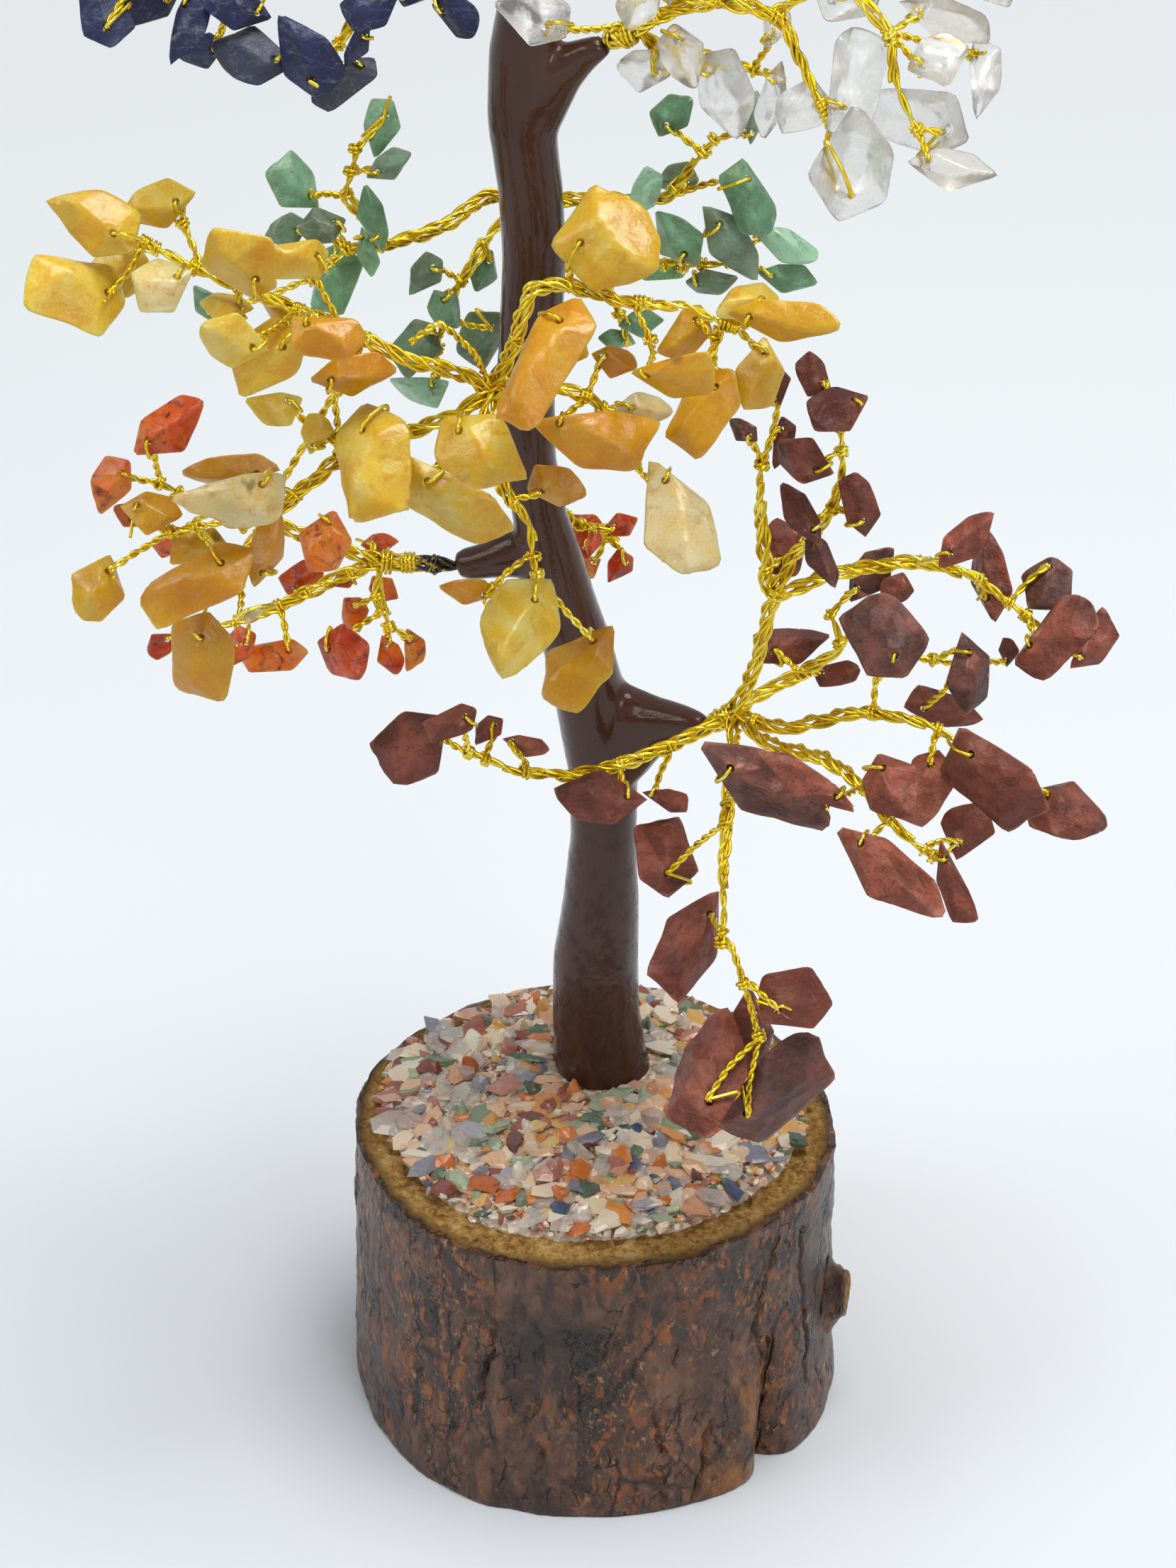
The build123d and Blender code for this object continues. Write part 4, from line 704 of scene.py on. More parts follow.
def limbParts(solids, knuckle, rng):
    # Bundles of twisted pairs, bound on where they leave another limb, and the paths that they follow
    parts, paths = [], []
    for solid in solids:
        middles, radii = ringCentres(*solid, 4)
        if lengths(middles[0] - knuckle) > lengths(middles[-1] - knuckle):
            middles, radii = middles[::-1], radii[::-1]
        carrier = None
        if lengths(middles[0] - knuckle) < 5 * mm:
            middles = np.vstack([knuckle, middles])
        elif paths:
            carrier = nearestOn(paths, middles[0])
            middles = np.vstack([carrier[0], middles])
        path, run = smoothPath(middles)
        plies = 1 + int(radii[0] > wire["secondPly"]) + int(radii[0] > wire["thirdPly"])
        parts += bundle(path, run, plies, rng)
        if carrier:
            parts.append(wrap(*carrier, wire["limbWrap"], wire["limbTurns"], rng))
        paths.append(path)
    return parts, paths


def twigParts(solid, bores, paths, rng):
    # A twisted pair to one chip, bound on at the limb and threaded through the bore
    middles, radii = ringCentres(*solid, 3)
    start, mouth, tail = middles[::-1] if radii[0] < radii[-1] else middles
    bore = min(bores, key=lambda row: lengths(row[0] - (mouth + tail) / 2))
    place, along = nearestOn(paths, start)
    bow = 0.2 * mm + 0.035 * lengths(mouth - start)
    path, run = smoothPath([place, start, (start + mouth) / 2 + unit(rng.standard_normal(3)) * bow, mouth])
    parts = twistedPair(path, run, rng)
    parts.append(wrap(place, along, wire["twigWrap"], wire["twigTurns"] * rng.uniform(0.6, 1.2), rng))
    parts.append(tube(threadedLoop(start, mouth, bore)))
    if rng.random() < wire["looseEnds"]:
        out = unit(unit(mouth - start) + 0.9 * rng.standard_normal(3))
        end = mouth + (out + 0.3 * rng.standard_normal(3)) * 2.1 * mm
        parts.append(tube(smoothPath([mouth, mouth + out * 0.9 * mm, end])[0], wire["radius"] * 0.9))
    return parts


hinges = {joint["child"]: np.array(joint["pos_m"]) for joint in frame["joints"]}
for body, pivot in hinges.items():
    stem = body[:-len("_bough")]
    rng = np.random.default_rng(sum(body.encode()))
    rootPoints = readSolids(stem + "_root_wires")[0][0]
    reach = lengths(rootPoints - pivot)
    knuckle = rootPoints[np.argsort(reach)[-10:-5]].mean(axis=0)
    points, faces, owner = join(rootParts(pivot, knuckle, rng))
    paintReach = wire["paintReach"].get(stem, wire["paintEdge"])
    paint = np.clip(1.3 - lengths(points - pivot) / paintReach, 0, 1)
    makePiece(stem + "_root_wires", (points, faces), gilt, body, {"paint": paint})
    parts, paths = limbParts(readSolids(stem + "_limb_wires"), knuckle, rng)
    makePiece(stem + "_limb_wires", join(parts)[:2], gilt, body)
    parts = []
    for solid in readSolids(stem + "_twig_wires"):
        parts += twigParts(solid, bores[body], paths, rng)
    makePiece(stem + "_twig_wires", join(parts)[:2], gilt, body)
    print("wires of", stem, "made")


# Trunk: the putty over the wires, smoothed where its stubs branch off

trunkShape = {"voxel": 0.60 * mm, "passes": 36, "ease": 0.5, "swell": 0.26 * mm, "lumps": 0.20 * mm,
              "lumpScale": (260, 260, 170)}


def trunkMaterial():
    f = Finish("brownGloss")
    place = f.place()
    streak = f.noise(f.stretched(place, (150, 150, 70)), 1.0, 3.0, 0.5, 0.3)
    colour = f.ramp(streak, ((0.30, (0.056, 0.021, 0.012)), (0.70, (0.078, 0.030, 0.018))))
    # Scuffs where the gloss has rubbed through, mostly low on the trunk
    specks = f.noise(f.stretched(place, (420, 420, 260)), 1.0, 6.0, 0.72)
    scuffs = f.times(f.mask(specks, 0.50, 0.60), f.mapped(f.axis(place, 2), 0.12, 0.055))
    height = f.weighted((f.noise(place, 170.0), 1.0), (f.noise(f.stretched(place, (80, 80, 30)), 1.0), 1.0),
                        (scuffs, -0.25), (f.noise(place, 480.0, 3.0, 0.6), 0.30))
    return f.shade(height, 0.32, 0.0006, Base_Color=f.mix(f.times(scuffs, 0.7), colour, (0.052, 0.025, 0.017)),
                   Roughness=f.mapped(scuffs, 0.0, 1.0, 0.22, 0.45), Specular_IOR_Level=0.18,
                   Coat_Weight=f.mapped(scuffs, 0.0, 1.0, 0.42, 0.0), Coat_Roughness=0.06)


shape = join(readSolids("trunk_moulding") + readSolids("trunk_core_wires"))[:2]
trunk = makePiece("trunk_moulding", shape, trunkMaterial())
skin = trunk.modifiers.new("skin", "REMESH")
skin.mode = "VOXEL"
skin.voxel_size = trunkShape["voxel"]
ease = trunk.modifiers.new("ease", "SMOOTH")
ease.factor, ease.iterations = trunkShape["ease"], trunkShape["passes"]
# The modifiers' result takes the place of the piece's mesh
bpy.context.view_layer.update()
trunkMesh = bpy.data.meshes.new_from_object(trunk.evaluated_get(bpy.context.evaluated_depsgraph_get()))
roughMesh = trunk.data
trunk.modifiers.clear()
trunk.data = trunkMesh
bpy.data.meshes.remove(roughMesh)
trunkMesh.shade_smooth()
points, normals = readRows(trunkMesh, "co"), readRows(trunkMesh, "normal")
rng = np.random.default_rng(5)
waves, phases = rng.normal(size=(6, 3)) * trunkShape["lumpScale"], rng.uniform(0, fullTurn, 6)
swell = trunkShape["swell"] + trunkShape["lumps"] * np.sin(points @ waves.T + phases).mean(axis=1) * 2
trunkMesh.vertices.foreach_set("co", (points + normals * swell[:, None]).ravel().astype(np.float32))
trunkMesh.update()
print("trunk made:", len(trunkMesh.vertices), "points")


# Log slice: bark carried round the log's outline, and the sawn wood inside it

logShape = {"columns": 560, "rows": 130, "height": 50 * mm, "plateDepth": 0.65 * mm, "flakeDepth": 0.50 * mm,
            "flakeLevels": 4, "roughDepth": 0.30 * mm, "smallCracks": 60, "lipDrop": 0.7 * mm,
            "lipSwell": 0.15 * mm, "rimWidth": 7.6 * mm, "rimLift": 0.50 * mm, "rimRows": 22,
            "rimWorn": 0.5 * mm, "barkEdge": 0.3 * mm, "rimWaver": 0.5 * mm, "rimGap": 0.4 * mm,
            "darkEdge": 3.0 * mm, "footWorn": 0.25 * mm, "footPlay": 0.1 * mm}
# Long cracks of the bark: angle, lowest and highest share of the height, lean, width, depth in millimetres
barkCracks = (
    (-43.5, 0.00, 0.56, 1, 0.60, 1.6), (-45, 0.40, 0.66, -3, 0.40, 0.9), (-66, 0.00, 0.34, 5, 0.42, 1.2),
    (-73, 0.20, 0.44, -4, 0.34, 0.9), (-118, 0.38, 0.74, 5, 0.36, 0.9), (-50, 0.55, 0.95, 9, 0.40, 0.8),
    (-30, 0.20, 0.90, -2, 0.40, 1.0), (30, 0.10, 0.80, 3, 0.42, 1.1), (74, 0.00, 0.55, -4, 0.45, 1.2),
    (112, 0.30, 0.95, 2, 0.40, 1.0), (150, 0.10, 0.60, 5, 0.40, 1.1), (-172, 0.40, 0.98, -3, 0.40, 1.1),
)
columns, top = logShape["columns"], logShape["height"]
theta = np.linspace(-math.pi, math.pi, columns, endpoint=False)
around = (theta + math.pi) / fullTurn


def outline(node, height, outer, soft=2.2):
    # The log's radius all round, read off the CAD ring at that height and softly rounded
    points = allPoints(node)
    points = points[np.abs(points[:, 2] - height) < 0.1 * mm]
    angle, radius = np.arctan2(points[:, 1], points[:, 0]), np.hypot(points[:, 0], points[:, 1])
    steps = np.unique(np.round(angle, 3))
    pick = np.max if outer else np.min
    radii = np.array([pick(radius[np.abs(angle - step) < 0.002]) for step in steps])
    smooth = np.interp(theta, steps, radii, period=fullTurn)
    wide = int(soft * 3)
    kernel = np.exp(-0.5 * (np.arange(-wide, wide + 1) / soft) ** 2)
    return np.convolve(np.concatenate([smooth[-wide:], smooth, smooth[:wide]]), kernel / kernel.sum(), "valid")


def barkRelief(v, rng):
    # How far in the bark lies: plates, fine roughness and cracks, over angle and height
    u = around[None]
    lean = 0.012 * np.sin(v * 5 + 3 * lattice(u, v, 9, 3, rng))
    plates = lattice(u + lean, v, 24, 4, rng)
    # Flakes: a coarse noise cut into levels, so each level ends in a small step
    levels = logShape["flakeLevels"]
    flakes = levels * lattice(u + lean, v, 52, 12, rng)
    flakes = np.floor(flakes) + np.clip((flakes - np.floor(flakes)) * 4, 0, 1)
    rough = lattice(u + lean, v, 130, 34, rng) * 0.5 + lattice(u, v, 210, 48, rng) * 0.5
    relief = (logShape["plateDepth"] * plates + logShape["flakeDepth"] * flakes / levels
              + logShape["roughDepth"] * rough)
    small = logShape["smallCracks"]
    starts = rng.uniform(0, 0.9, small)
    cracks = list(barkCracks) + list(zip(
        rng.uniform(-180, 180, small), starts, np.minimum(1, starts + rng.uniform(0.06, 0.22, small)),
        rng.uniform(-5, 5, small), rng.uniform(0.20, 0.34, small), rng.uniform(0.20, 0.50, small)))
    for degrees, low, high, leanDegrees, width, depth in cracks:
        path = math.radians(degrees) + math.radians(leanDegrees) * (v - low) / (high - low)
        path = path + 0.008 * np.sin(v * 31 + degrees) + 0.006 * np.sin(v * 77 + degrees * 3)
        off = (theta[None] - path + math.pi) % fullTurn - math.pi
        ends = np.clip((v - low) / 0.05, 0, 1) * np.clip((high - v) / 0.05, 0, 1)
        relief = relief + depth * mm * ends * np.exp(-(off * 38 / width / 0.9) ** 2)
    return relief


def ringRows(radius, height):
    # Points round the log for each row of radii and heights
    radius, height = np.broadcast_arrays(radius, height)
    return np.stack([radius * np.cos(theta), radius * np.sin(theta), height], -1)


def barkMaterial():
    f = Finish("lacqueredBark")
    place = f.place()
    long = f.stretched(place, (1.0, 1.0, 0.45))
    blotch = f.noise(long, 150.0, 5.0, 0.62, 0.9)
    colour = f.ramp(blotch, ((0.34, (0.022, 0.011, 0.007)), (0.44, (0.060, 0.025, 0.014)),
                             (0.53, (0.120, 0.050, 0.025)), (0.66, (0.230, 0.105, 0.055))))
    # Dark flecks all over, orange and ochre ones in places
    where = f.mask(f.noise(place, 60.0, 3.0, 0.55), 0.42, 0.60)
    for scale, detail, low, high, tint, shown in (
            (420.0, 4.0, 0.55, 0.62, (0.018, 0.010, 0.007), 0.65),
            (520.0, 5.0, 0.53, 0.58, (0.340, 0.095, 0.012), where),
            (900.0, 3.0, 0.60, 0.66, (0.460, 0.220, 0.070), where)):
        turned = f.stretched(place, (1, 1, 0.55), (0, 0, scale))
        flecks = f.mask(f.noise(turned, scale, detail, 0.62, 0.6), low, high)
        colour = f.mix(f.times(flecks, shown), colour, tint)
    # Painted shade: the deeper the bark lies, the darker it is painted, almost black in the deep cracks
    colour = f.mix(f.mapped(f.mark("depth"), 1.1, 2.2, 0.0, 0.9), colour, (0.006, 0.004, 0.003))
    # Fine cracks, painted almost black as the shade in them: the edges of tall cells, wavered by a noise and
    # broken off where another noise is low
    waver = f.noise(place, 260.0, 4.0, 0.6)
    nudged = f.put("VectorMath", {"operation": "MULTIPLY_ADD"}, i1=(0.006,) * 3, i2=place,
                   i0=f.put("CombineXYZ", X=waver, Y=waver, Z=waver).outputs[0]).outputs[0]
    cracks = 0.0
    for tall, scale, width, low, high in ((0.26, 105.0, 0.030, 0.46, 0.52), (0.50, 310.0, 0.050, 0.54, 0.60)):
        cells = f.put("TexVoronoi", {"feature": "DISTANCE_TO_EDGE"}, Scale=scale,
                      Vector=f.stretched(nudged, (1, 1, tall)))
        shown = f.mask(f.noise(place, scale * 0.5, 2.0, 0.5), low, high)
        cracks = f.greater(cracks, f.times(f.fade(cells.outputs["Distance"], width), shown))
    colour = f.mix(f.times(cracks, 0.9), colour, (0.006, 0.004, 0.003))
    # Orange wood shows low beside the cleft at the front right, where bark has come away
    beside = f.times(f.mapped(f.axis(place, 0), 0.014, 0.022), f.mapped(f.axis(place, 1), -0.024, -0.030))
    beside = f.times(beside, f.mapped(f.axis(place, 2), 0.020, 0.030, 1.0, 0.0))
    bare = f.times(beside, f.mask(f.noise(long, 170.0, 7.0, 0.68), 0.46, 0.56))
    colour = f.mix(f.times(bare, 0.8), colour, (0.42, 0.165, 0.032))
    fine = f.noise(long, 620.0, 6.0, 0.72)
    dirt = f.ramp(fine, ((0.40, (0.35, 0.32, 0.30)), (0.52, white)))
    return f.shade(f.weighted((fine, 1.4), (blotch, 1.5), (cracks, -1.0)), 0.8, 0.0010,
                   Base_Color=f.mix(0.5, colour, dirt, "MULTIPLY"), Specular_IOR_Level=0.36,
                   Roughness=f.mapped(blotch, 0.3, 0.7, 0.24, 0.48), Coat_Weight=0.34, Coat_Roughness=0.07)


rng = np.random.default_rng(11)
footOuter, waistOuter, topOuter = (outline("log_bark", height, True, soft)
                                   for height, soft in ((0, 2.2), (top / 2, 6), (top, 12)))
footInner, topInner = outline("log_bark", 0.0, False), outline("log_bark", top, False, 12)
level = np.linspace(0, 1, logShape["rows"])[:, None]
plain = np.where(level < 0.5, footOuter + (waistOuter - footOuter) * level * 2,
                 waistOuter + (topOuter - waistOuter) * (level * 2 - 1))
wall = plain - barkRelief(level, rng)
wall[:2] -= logShape["footWorn"] * np.array([[1.0], [0.3]])
wallTop = top - logShape["lipDrop"] * lattice(around, 0.3, 70, 2, rng)
# Up the wall, over the lip and down inside
lip = np.linspace(0, 1, 5)[1:, None]
rows = np.concatenate([
    ringRows(wall, level * wallTop[None]),
    ringRows(wall[-1] + (topInner - wall[-1]) * lip, wallTop + logShape["lipSwell"] * np.sin(lip * math.pi)),
    ringRows(np.stack([topInner, footInner]), np.array([[top * 0.9], [0.2 * mm]]))])
points = rows.reshape(-1, 3)
depth = np.zeros(len(points))
depth[:wall.size] = (plain - wall).ravel() / mm
bark, faces = barkMaterial(), gridFaces(len(rows), columns, loopRows=True)
makePiece("log_bark", (points, outward(points, faces)), bark, marks={"depth": depth})


def sawnMaterial():
    f = Finish("sawnWood")
    place = f.place()
    crumbs = f.noise(place, 800.0, 6.0, 0.75)
    patch = f.noise(place, 130.0, 4.0, 0.6, 0.5)
    colour = f.ramp(f.weighted((crumbs, 0.75), (patch, 0.30)),
                    ((0.36, (0.090, 0.038, 0.010)), (0.46, (0.330, 0.165, 0.040)),
                     (0.56, (0.560, 0.330, 0.100)), (0.70, (0.800, 0.580, 0.270))))
    # Darker and mossy where the sawn wood meets the bark
    moss = f.mask(f.times(f.maths("ADD", patch, crumbs), f.mark("edge")), 0.25, 0.90)
    return f.shade(crumbs, 0.9, 0.0010, Base_Color=f.mix(moss, colour, (0.075, 0.044, 0.018)), Roughness=0.85,
                   Specular_IOR_Level=0.2)


def rimGap(places):
    # How far places lie inside the rim's outer edge
    edge = np.interp(np.arctan2(places[:, 1], places[:, 0]), theta, rimOuter, period=fullTurn)
    return edge - np.hypot(places[:, 0], places[:, 1])


sawn = sawnMaterial()
rimOuter = (topOuter - logShape["barkEdge"] - logShape["rimWaver"] * lattice(around, 0.5, 90, 2, rng)
            - logShape["rimGap"])
rimInner = rimOuter - logShape["rimWidth"]
share = np.linspace(0, 1, logShape["rimRows"])[:, None]
crumbs = lattice(around, share, 220, 12, rng) * 0.6 + lattice(around, share, 430, 22, rng) * 0.4
rimHeight = (top + logShape["rimLift"] * (crumbs - 0.35) * 2 * np.minimum(1, 6 * share)
             - logShape["rimWorn"] * np.clip(1 - 5 * share, 0, 1))
footEdge, topEdge = footInner - logShape["footPlay"], topInner - logShape["footPlay"]
footRadii = np.stack([footInner * 0.5, footEdge, footEdge, topEdge])
woodRows = np.concatenate([ringRows(footRadii, np.array([[0.15], [0.15], [2.0], [48.6]]) * mm),
                           ringRows(rimOuter + (rimInner - rimOuter) * share, rimHeight),
                           ringRows(rimInner[None] * 0.5, top)])
shape = closedRings(woodRows, [(0, 0, 0.15 * mm), (0, 0, top)])
edge = np.clip(1 - rimGap(shape[0]) / logShape["darkEdge"], 0, 1)
makePiece("log_wood", shape, sawn, marks={"edge": edge})
print("log slice made")


# Cut side twig on the bark

twigEnd = {"sides": 48, "rings": 20, "wobble": 0.9 * mm, "flare": 0.45, "sink": 1.2 * mm, "barkLip": 0.8,
           "lipAt": 0.7, "lipSink": 0.5 * mm, "swollen": 0.8, "taper": 0.10, "lift": 1.12,
           "roughness": 0.35 * mm}
twigPoints = allPoints("log_side_twig")
twigMiddle = twigPoints.mean(axis=0)
twigOut = unit(twigMiddle * (1, 1, 0))
reach = twigPoints @ twigOut
fromMiddle = twigPoints - twigMiddle
twigRadius = lengths(fromMiddle - np.outer(fromMiddle @ twigOut, twigOut)).max()
rng = np.random.default_rng(3)
u = np.linspace(0, 1, twigEnd["sides"], endpoint=False)[None]


def twigRows(size, far, swollen=0.0):
    # Rings square to the twig: radius and distance out for every ring and angle, swollen underneath
    size, far, turn, swollen = np.broadcast_arrays(size, far, fullTurn * u, swollen)
    rise = size * np.sin(turn) * (twigEnd["lift"] + swollen * (np.sin(turn) < 0))
    across = (size * np.cos(turn))[..., None] * np.cross(up, twigOut)
    return twigOut * far[..., None] + up * twigMiddle[2] + across + rise[..., None] * up


def twigPiece(rows, finish, mark, value, ending=""):
    shape = closedRings(rows, rows[[0, -1]].mean(axis=1))
    makePiece("log_side_twig", shape, finish, marks={mark: np.full(len(shape[0]), value)}, ending=ending)


# Out along the twig's bark, over its lip and a little way back in
v, lipAt, lipShare = np.linspace(0, 1, twigEnd["rings"])[:, None], twigEnd["lipAt"], twigEnd["barkLip"]
outShare, inShare = np.clip(v / lipAt, 0, 1), np.clip((v - lipAt) / 0.3, 0, 1)
size = twigRadius * (1 + twigEnd["flare"] * (1 - outShare) ** 2 - twigEnd["taper"] * outShare)
wobble = twigEnd["wobble"] * (lattice(u, outShare * 0.9, 9, 4, rng) - 0.6)
wobble = wobble + 0.35 * twigEnd["wobble"] * (lattice(u, outShare * 0.9, 26, 9, rng) - 0.5)
start, end = reach.min() - twigEnd["sink"], reach.max() - 0.15 * mm
far = start + (end - start) * outShare - twigEnd["lipSink"] * inShare
rows = twigRows((size + wobble) * (1 - (1 - lipShare) * inShare), far, twigEnd["swollen"] * (1 - outShare))
twigPiece(rows, bark, "depth", 0.6)
endShare = np.linspace(1, 0.03, 10)[:, None]
rough = twigEnd["roughness"] * (lattice(u, endShare * 0.9, 20, 8, rng) - 0.7)
inside = size[-1] * lipShare * 1.04
rows = [twigRows(inside, end - 1.0 * mm), twigRows(inside * endShare, end + 0.1 * mm + rough)]
twigPiece(np.concatenate(rows), sawn, "edge", 0.3, "End")


# Ground: glue, coarse stones and crushed grains

ground = {"grains": 2100, "reach": 34.6 * mm, "longest": 3.3 * mm, "shortest": 0.62 * mm, "heap": 0.9 * mm,
          "rows": 3, "columns": 6, "flats": 7, "round": 60, "tilt": 0.60, "mostTilt": 0.8,
          "tallest": 1.1 * mm, "crease": 16, "heapEdge": 34 * mm, "heapSlope": 8 * mm, "shake": 0.5 * mm,
          "sunk": 0.3 * mm, "frontGap": 2.4 * mm, "rearGap": 4.0 * mm, "coarseRound": 40, "coarseRows": 11,
          "coarseColumns": 16}
# Each kind of grain: its share, how clear it is, and its tones
groundKinds = {
    "cream": (0.32, 0.28, ((0.0, (0.66, 0.28, 0.13)), (0.3, (0.90, 0.55, 0.33)), (0.6, (0.96, 0.77, 0.53)),
                           (1.0, (0.98, 0.94, 0.82)))),
    "orange": (0.13, 0.30, ((0.0, (0.50, 0.09, 0.02)), (0.4, (0.84, 0.26, 0.05)), (0.7, (0.86, 0.50, 0.14)),
                            (1.0, (0.90, 0.72, 0.30)))),
    "green": (0.12, 0.20, ((0.0, (0.050, 0.085, 0.055)), (0.4, (0.150, 0.210, 0.130)),
                           (0.7, (0.320, 0.400, 0.260)), (1.0, (0.62, 0.66, 0.42)))),
    "clear": (0.26, 0.72, ((0.0, (0.82, 0.66, 0.60)), (0.3, (0.95, 0.83, 0.74)), (0.6, (0.98, 0.92, 0.82)),
                           (1.0, (1.0, 0.98, 0.93)))),
    "red": (0.13, 0.10, ((0.0, (0.100, 0.026, 0.020)), (0.45, (0.280, 0.070, 0.040)),
                         (0.8, (0.52, 0.22, 0.16)), (1.0, (0.74, 0.46, 0.38)))),
    "blue": (0.04, 0.20, ((0.0, (0.02, 0.035, 0.13)), (0.3, (0.08, 0.10, 0.20)), (0.6, (0.30, 0.29, 0.33)),
                          (1.0, (0.62, 0.57, 0.60)))),
}


def grainMaterial(name, clear, tones):
    f = Finish(name)
    place = f.place()
    cloud = f.noise(place, 900.0, 3.0, 0.6)
    colour = f.ramp(f.weighted((f.mark("tone"), 0.8), (cloud, 0.4), start=-0.1), tones)
    return f.shade(f.noise(place, 1500.0, 3.0, 0.6), 0.35, 0.0002, Base_Color=colour,
                   Roughness=f.mapped(cloud, 0.3, 0.7, 0.03, 0.22), Transmission_Weight=clear, IOR=1.5,
                   Coat_Weight=0.4, Coat_Roughness=0.05)


def ball(rows, columns):
    # Directions all over a ball: rings from pole to pole, and the two poles last
    rise, turn = np.linspace(0, math.pi, rows + 2)[1:-1, None], ringAngles(columns)
    rings = [np.sin(rise) * np.cos(turn), np.sin(rise) * np.sin(turn), np.cos(rise) * np.ones(columns)]
    return closedRings(np.stack(rings, -1), [up, -up])


def lyingTurns(sizes, rng):
    # Any turn about the upright, with a small tilt, less for large grains, as rotations from unit quaternions
    count = len(sizes)
    spin = rng.uniform(0, fullTurn, count) / 2
    tilt = np.minimum(np.abs(rng.normal(0, ground["tilt"], count)), ground["mostTilt"])
    tilt = tilt * (1 - 0.7 * sizes / ground["longest"]) / 2
    way = rng.uniform(0, fullTurn, count)
    w, x = np.cos(tilt) * np.cos(spin), np.sin(tilt) * np.cos(way)
    y, z = np.sin(tilt) * np.sin(way), np.cos(tilt) * np.sin(spin)
    return np.stack([
        np.stack([1 - 2 * (y * y + z * z), 2 * (x * y - w * z), 2 * (x * z + w * y)], -1),
        np.stack([2 * (x * y + w * z), 1 - 2 * (x * x + z * z), 2 * (y * z - w * x)], -1),
        np.stack([2 * (x * z - w * y), 2 * (y * z + w * x), 1 - 2 * (x * x + y * y)], -1)], 1)


def crushedGrains(places, sizes, rng):
    # Each grain: directions over the softened greatest of its random flats, stretched and turned
    rays, faces = ball(ground["rows"], ground["columns"])
    count = len(places)
    flats = unit(rng.normal(size=(count, ground["flats"], 3)))
    heights = rng.uniform(0.55, 1.0, (count, ground["flats"]))
    depth = np.maximum(np.einsum("vk,gfk->gvf", rays, flats) / heights[:, None], 0)
    shape = rays[None] / np.maximum(softGreatest(depth, ground["round"]), 0.82)[..., None]
    flatter = 1 - 0.4 * sizes / ground["longest"]
    axes = sizes[:, None] * np.stack([rng.uniform(0.8, 1.25, count), rng.uniform(0.45, 0.75, count),
                                      rng.uniform(0.30, 0.55, count) * flatter], 1) * 1.15
    shape = np.einsum("gvk,gjk->gvj", shape * axes[:, None], lyingTurns(sizes, rng))
    # No shard stands up out of the bed: its rise eases towards a limit
    shape[..., 2] = ground["tallest"] * np.tanh(shape[..., 2] / ground["tallest"])
    return [(points, faces) for points in shape + places[:, None]]


def softStone(points, faces):
    # A coarse stone with the CAD stone's flats, softened
    normals, heights = facePlanes(points, faces)
    middle = points.mean(axis=0)
    rays, ballFaces = ball(ground["coarseRows"], ground["coarseColumns"])
    rays = rays * np.ptp(points, axis=0) / 2
    depth = np.maximum(rays @ normals.T / (heights - normals @ middle), 0)
    return middle + rays / softGreatest(depth, ground["coarseRound"])[:, None] * 1.12, ballFaces


rng = np.random.default_rng(29)
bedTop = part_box("glue_bed")[1].z
trunkFoot = allPoints("trunk_moulding")
trunkFoot = trunkFoot[trunkFoot[:, 2] < top + 1 * mm]
footMiddle, footRadius = trunkFoot[:, :2].mean(axis=0), np.ptp(trunkFoot[:, 0]) / 2
# Places on a spiral of even spacing, shaken, clear of the trunk and, at the front, of the rim's inside
count = ground["grains"]
spiral = np.arange(count) * math.pi * (3 - math.sqrt(5))
far = ground["reach"] * np.sqrt((np.arange(count) + 0.5) / count)
flat = np.stack([far * np.cos(spiral), far * np.sin(spiral)], 1) + rng.normal(0, ground["shake"], (count, 2))
flat = flat * (1 + 0.02 * np.sin(5 * spiral))[:, None]
sizes = ground["shortest"] + (ground["longest"] - ground["shortest"]) * rng.random(count) ** 3.0
slope = np.clip((ground["heapEdge"] - np.hypot(*flat.T)) / ground["heapSlope"], 0.2, 1)
heap = ground["heap"] * rng.random(count) * slope
behind = np.clip(0.4 - np.sin(np.arctan2(flat[:, 1], flat[:, 0])), 0, 1)
clear = lengths(flat - footMiddle) > footRadius + sizes * 0.5
spare = sizes * 0.6 + ground["frontGap"] + ground["rearGap"] * behind * rng.random(count) ** 0.5
clear &= rimGap(flat) > spare
flat, sizes, heap = flat[clear], sizes[clear], heap[clear]
places = np.column_stack([flat, bedTop - ground["sunk"] + heap + sizes * 0.2])
kinds = rng.choice(list(groundKinds), len(places), p=[share for share, clear, tones in groundKinds.values()])
for kind, (share, clear, tones) in groundKinds.items():
    node = "ground_stones_" + kind
    parts = [softStone(*solid) for solid in readSolids(node)]
    parts += crushedGrains(places[kinds == kind], sizes[kinds == kind], rng)
    points, faces, owner = join(parts)
    makePiece(node, (points, faces), grainMaterial(kind + "Grain", clear, tones),
              marks={"tone": rng.random(len(parts))[owner]}, crease=ground["crease"])


def glueMaterial():
    f = Finish("glueAndDust")
    cells = f.put("TexVoronoi", Vector=f.place(), Scale=900.0, Randomness=1.0)
    colour = f.ramp(f.axis(cells.outputs["Color"], 0),
                    ((0.00, (0.58, 0.42, 0.29)), (0.30, (0.70, 0.56, 0.42)), (0.55, (0.78, 0.68, 0.55)),
                     (0.76, (0.50, 0.27, 0.16)), (0.86, (0.34, 0.37, 0.27)), (0.94, (0.40, 0.17, 0.12))),
                    "CONSTANT")
    return f.shade(cells.outputs["Distance"], 0.8, 0.0006, Base_Color=colour, Roughness=0.35, Coat_Weight=0.3)


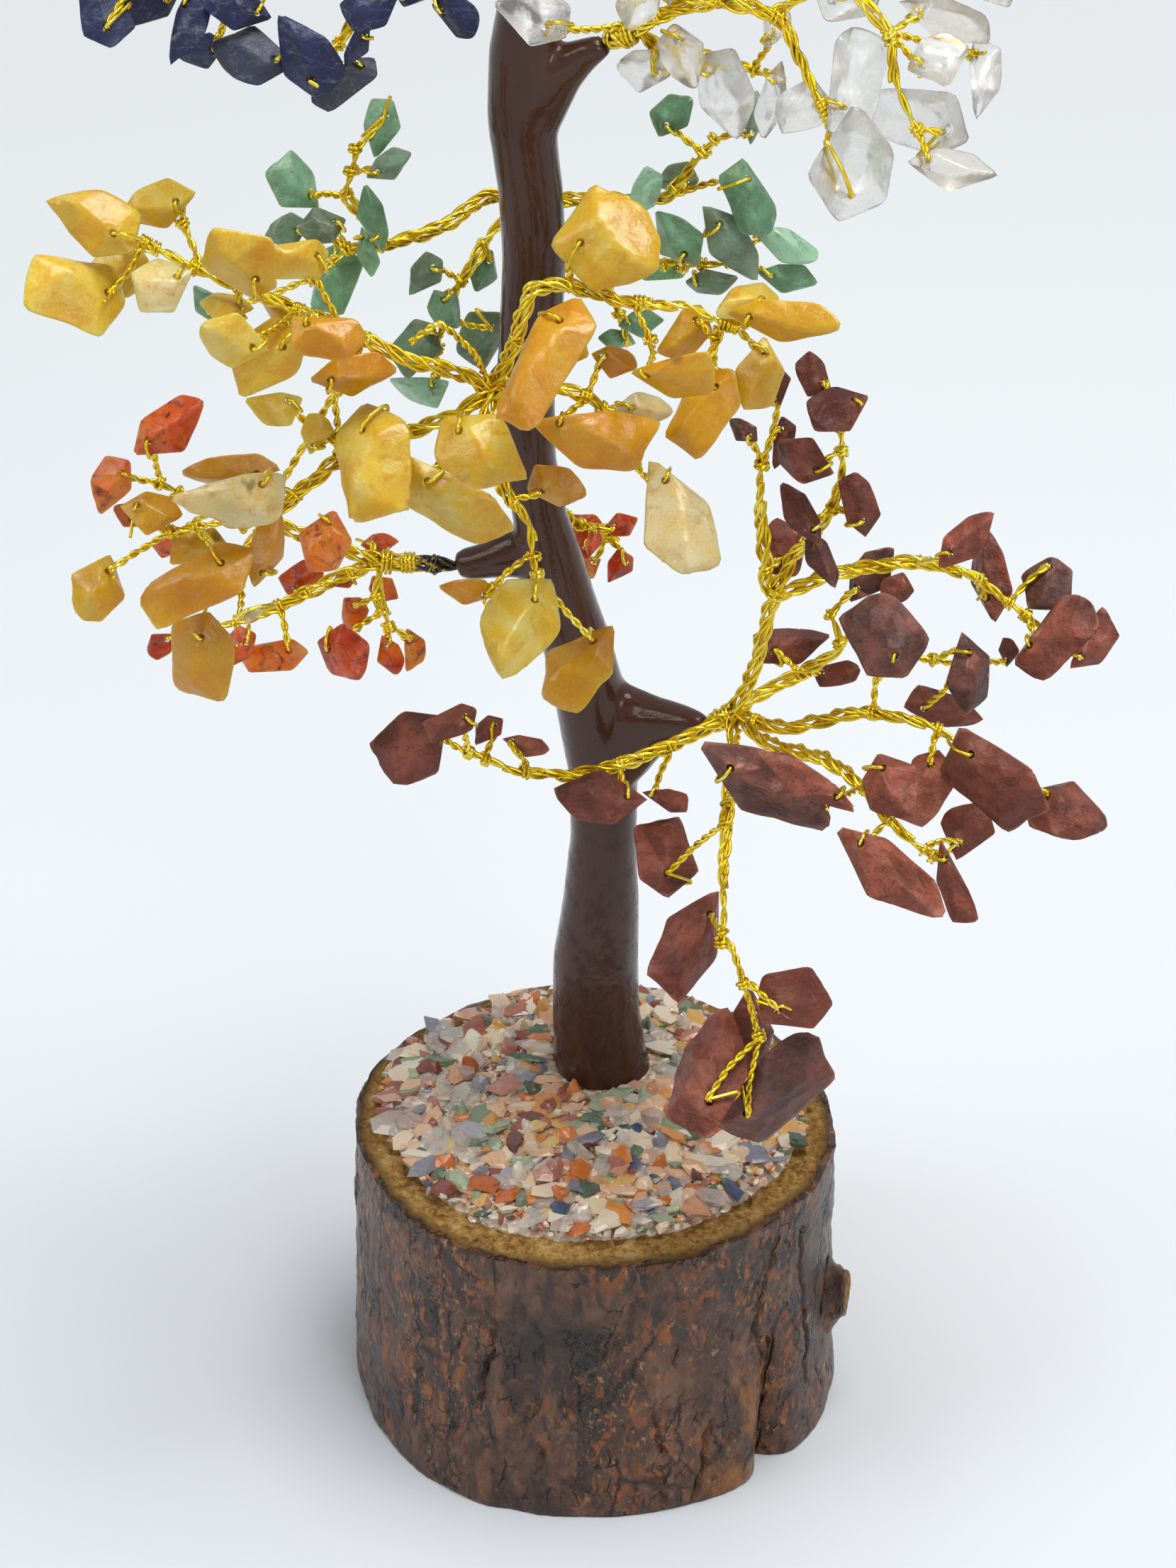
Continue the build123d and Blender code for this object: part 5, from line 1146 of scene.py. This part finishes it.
# Gaps to the rim at the front and at the rear, in millimetres
bed = {"rows": 12, "frontGap": 4.4, "rearGap": 1.8, "reach": 33 * mm, "lift": 0.2 * mm, "lumps": 0.3 * mm,
       "depth": 0.5 * mm}
share = np.linspace(0, 1, bed["rows"])[:, None]
bedGap = (bed["frontGap"] + bed["rearGap"] * np.clip(0.4 - np.sin(theta), 0, 1)) * mm
bedEdge = np.minimum(rimOuter - bedGap, bed["reach"])
bedHeight = (top + bed["lift"] + (bedTop - top) * np.clip(share * 9, 0, 1)
             + bed["lumps"] * lattice(around, share, 60, 12, rng))
bedRows = ringRows(bedEdge * (1 - 0.98 * share), bedHeight)
bedFoot = top - bed["depth"]
shape = closedRings(np.concatenate([ringRows(bedEdge[None], bedFoot), bedRows]),
                    [(0, 0, bedFoot), bedRows[-1].mean(axis=0)])
makePiece("glue_bed", shape, glueMaterial())
coreWires = frame["nodes"]["trunk_core_wires"]
coreWires.data.materials.clear()
coreWires.data.materials.append(gilt)
print("ground made:", len(places), "grains")


# Floor and backdrop

floorLook = {"reach": 3.0, "near": (0.71, 0.745, 0.79), "far": (0.90, 0.94, 0.97),
             "pale": (0.905, 0.930, 0.955), "fadeFrom": 0.30, "fadeTo": 1.10}
# Strength of the room as a lamp, in a gloss and where it is seen
roomLight = {"lamp": 0.33, "gloss": 0.50, "seen": 1.0}


def floorMaterial():
    f = Finish("paleFloor")
    place = f.place()
    # Painted shade and light: the floor is painted darker in front, where the lamps light it most, and paler
    # towards the back
    colour = f.mix(f.mapped(f.axis(place, 1), -0.2, 0.5), floorLook["near"], floorLook["far"])
    f.shade(Base_Color=colour, Roughness=0.85, Specular_IOR_Level=0.1)
    # Far from the object the floor passes into the backdrop's own colour, but not where it only lights
    rays = f.put("LightPath").outputs
    seen = f.greater(f.greater(rays["Is Camera Ray"], rays["Is Transmission Ray"]), rays["Is Glossy Ray"])
    away = f.put("VectorMath", {"operation": "LENGTH"}, i0=place).outputs["Value"]
    away = f.put("MapRange", {"interpolation_type": "SMOOTHSTEP"}, Value=away, i1=floorLook["fadeFrom"],
                 i2=floorLook["fadeTo"]).outputs[0]
    glow = f.put("Emission", Color=floorLook["pale"]).outputs[0]
    mixed = f.put("MixShader", i0=f.times(away, seen), i1=f.shader.outputs[0], i2=glow).outputs[0]
    f.feed(f.tree.nodes["Material Output"].inputs[0], mixed)
    return f.material


reach = floorLook["reach"]
floorMesh = bpy.data.meshes.new("floor")
floorMesh.from_pydata([(-reach, -reach, 0), (reach, -reach, 0), (reach, reach, 0), (-reach, reach, 0)], [],
                      [(0, 1, 2, 3)])
floorMesh.materials.append(floorMaterial())
addObject("floor", floorMesh)

world = bpy.data.worlds.new("softRoom")
bpy.context.scene.world = world
world.use_nodes = True
f = Nodes(world.node_tree)
backdrop = f.tree.nodes["Background"]
f.feed(backdrop.inputs[0], floorLook["pale"])
# The room is as bright as the backdrop where it is seen, also through clear stones, and dimmer as a lamp
rays = f.put("LightPath").outputs
seen = f.greater(rays["Is Camera Ray"], rays["Is Transmission Ray"])
strength = f.mapped(rays["Is Glossy Ray"], 0.0, 1.0, roomLight["lamp"], roomLight["gloss"])
f.feed(backdrop.inputs[1], f.greater(strength, f.times(seen, roomLight["seen"])))
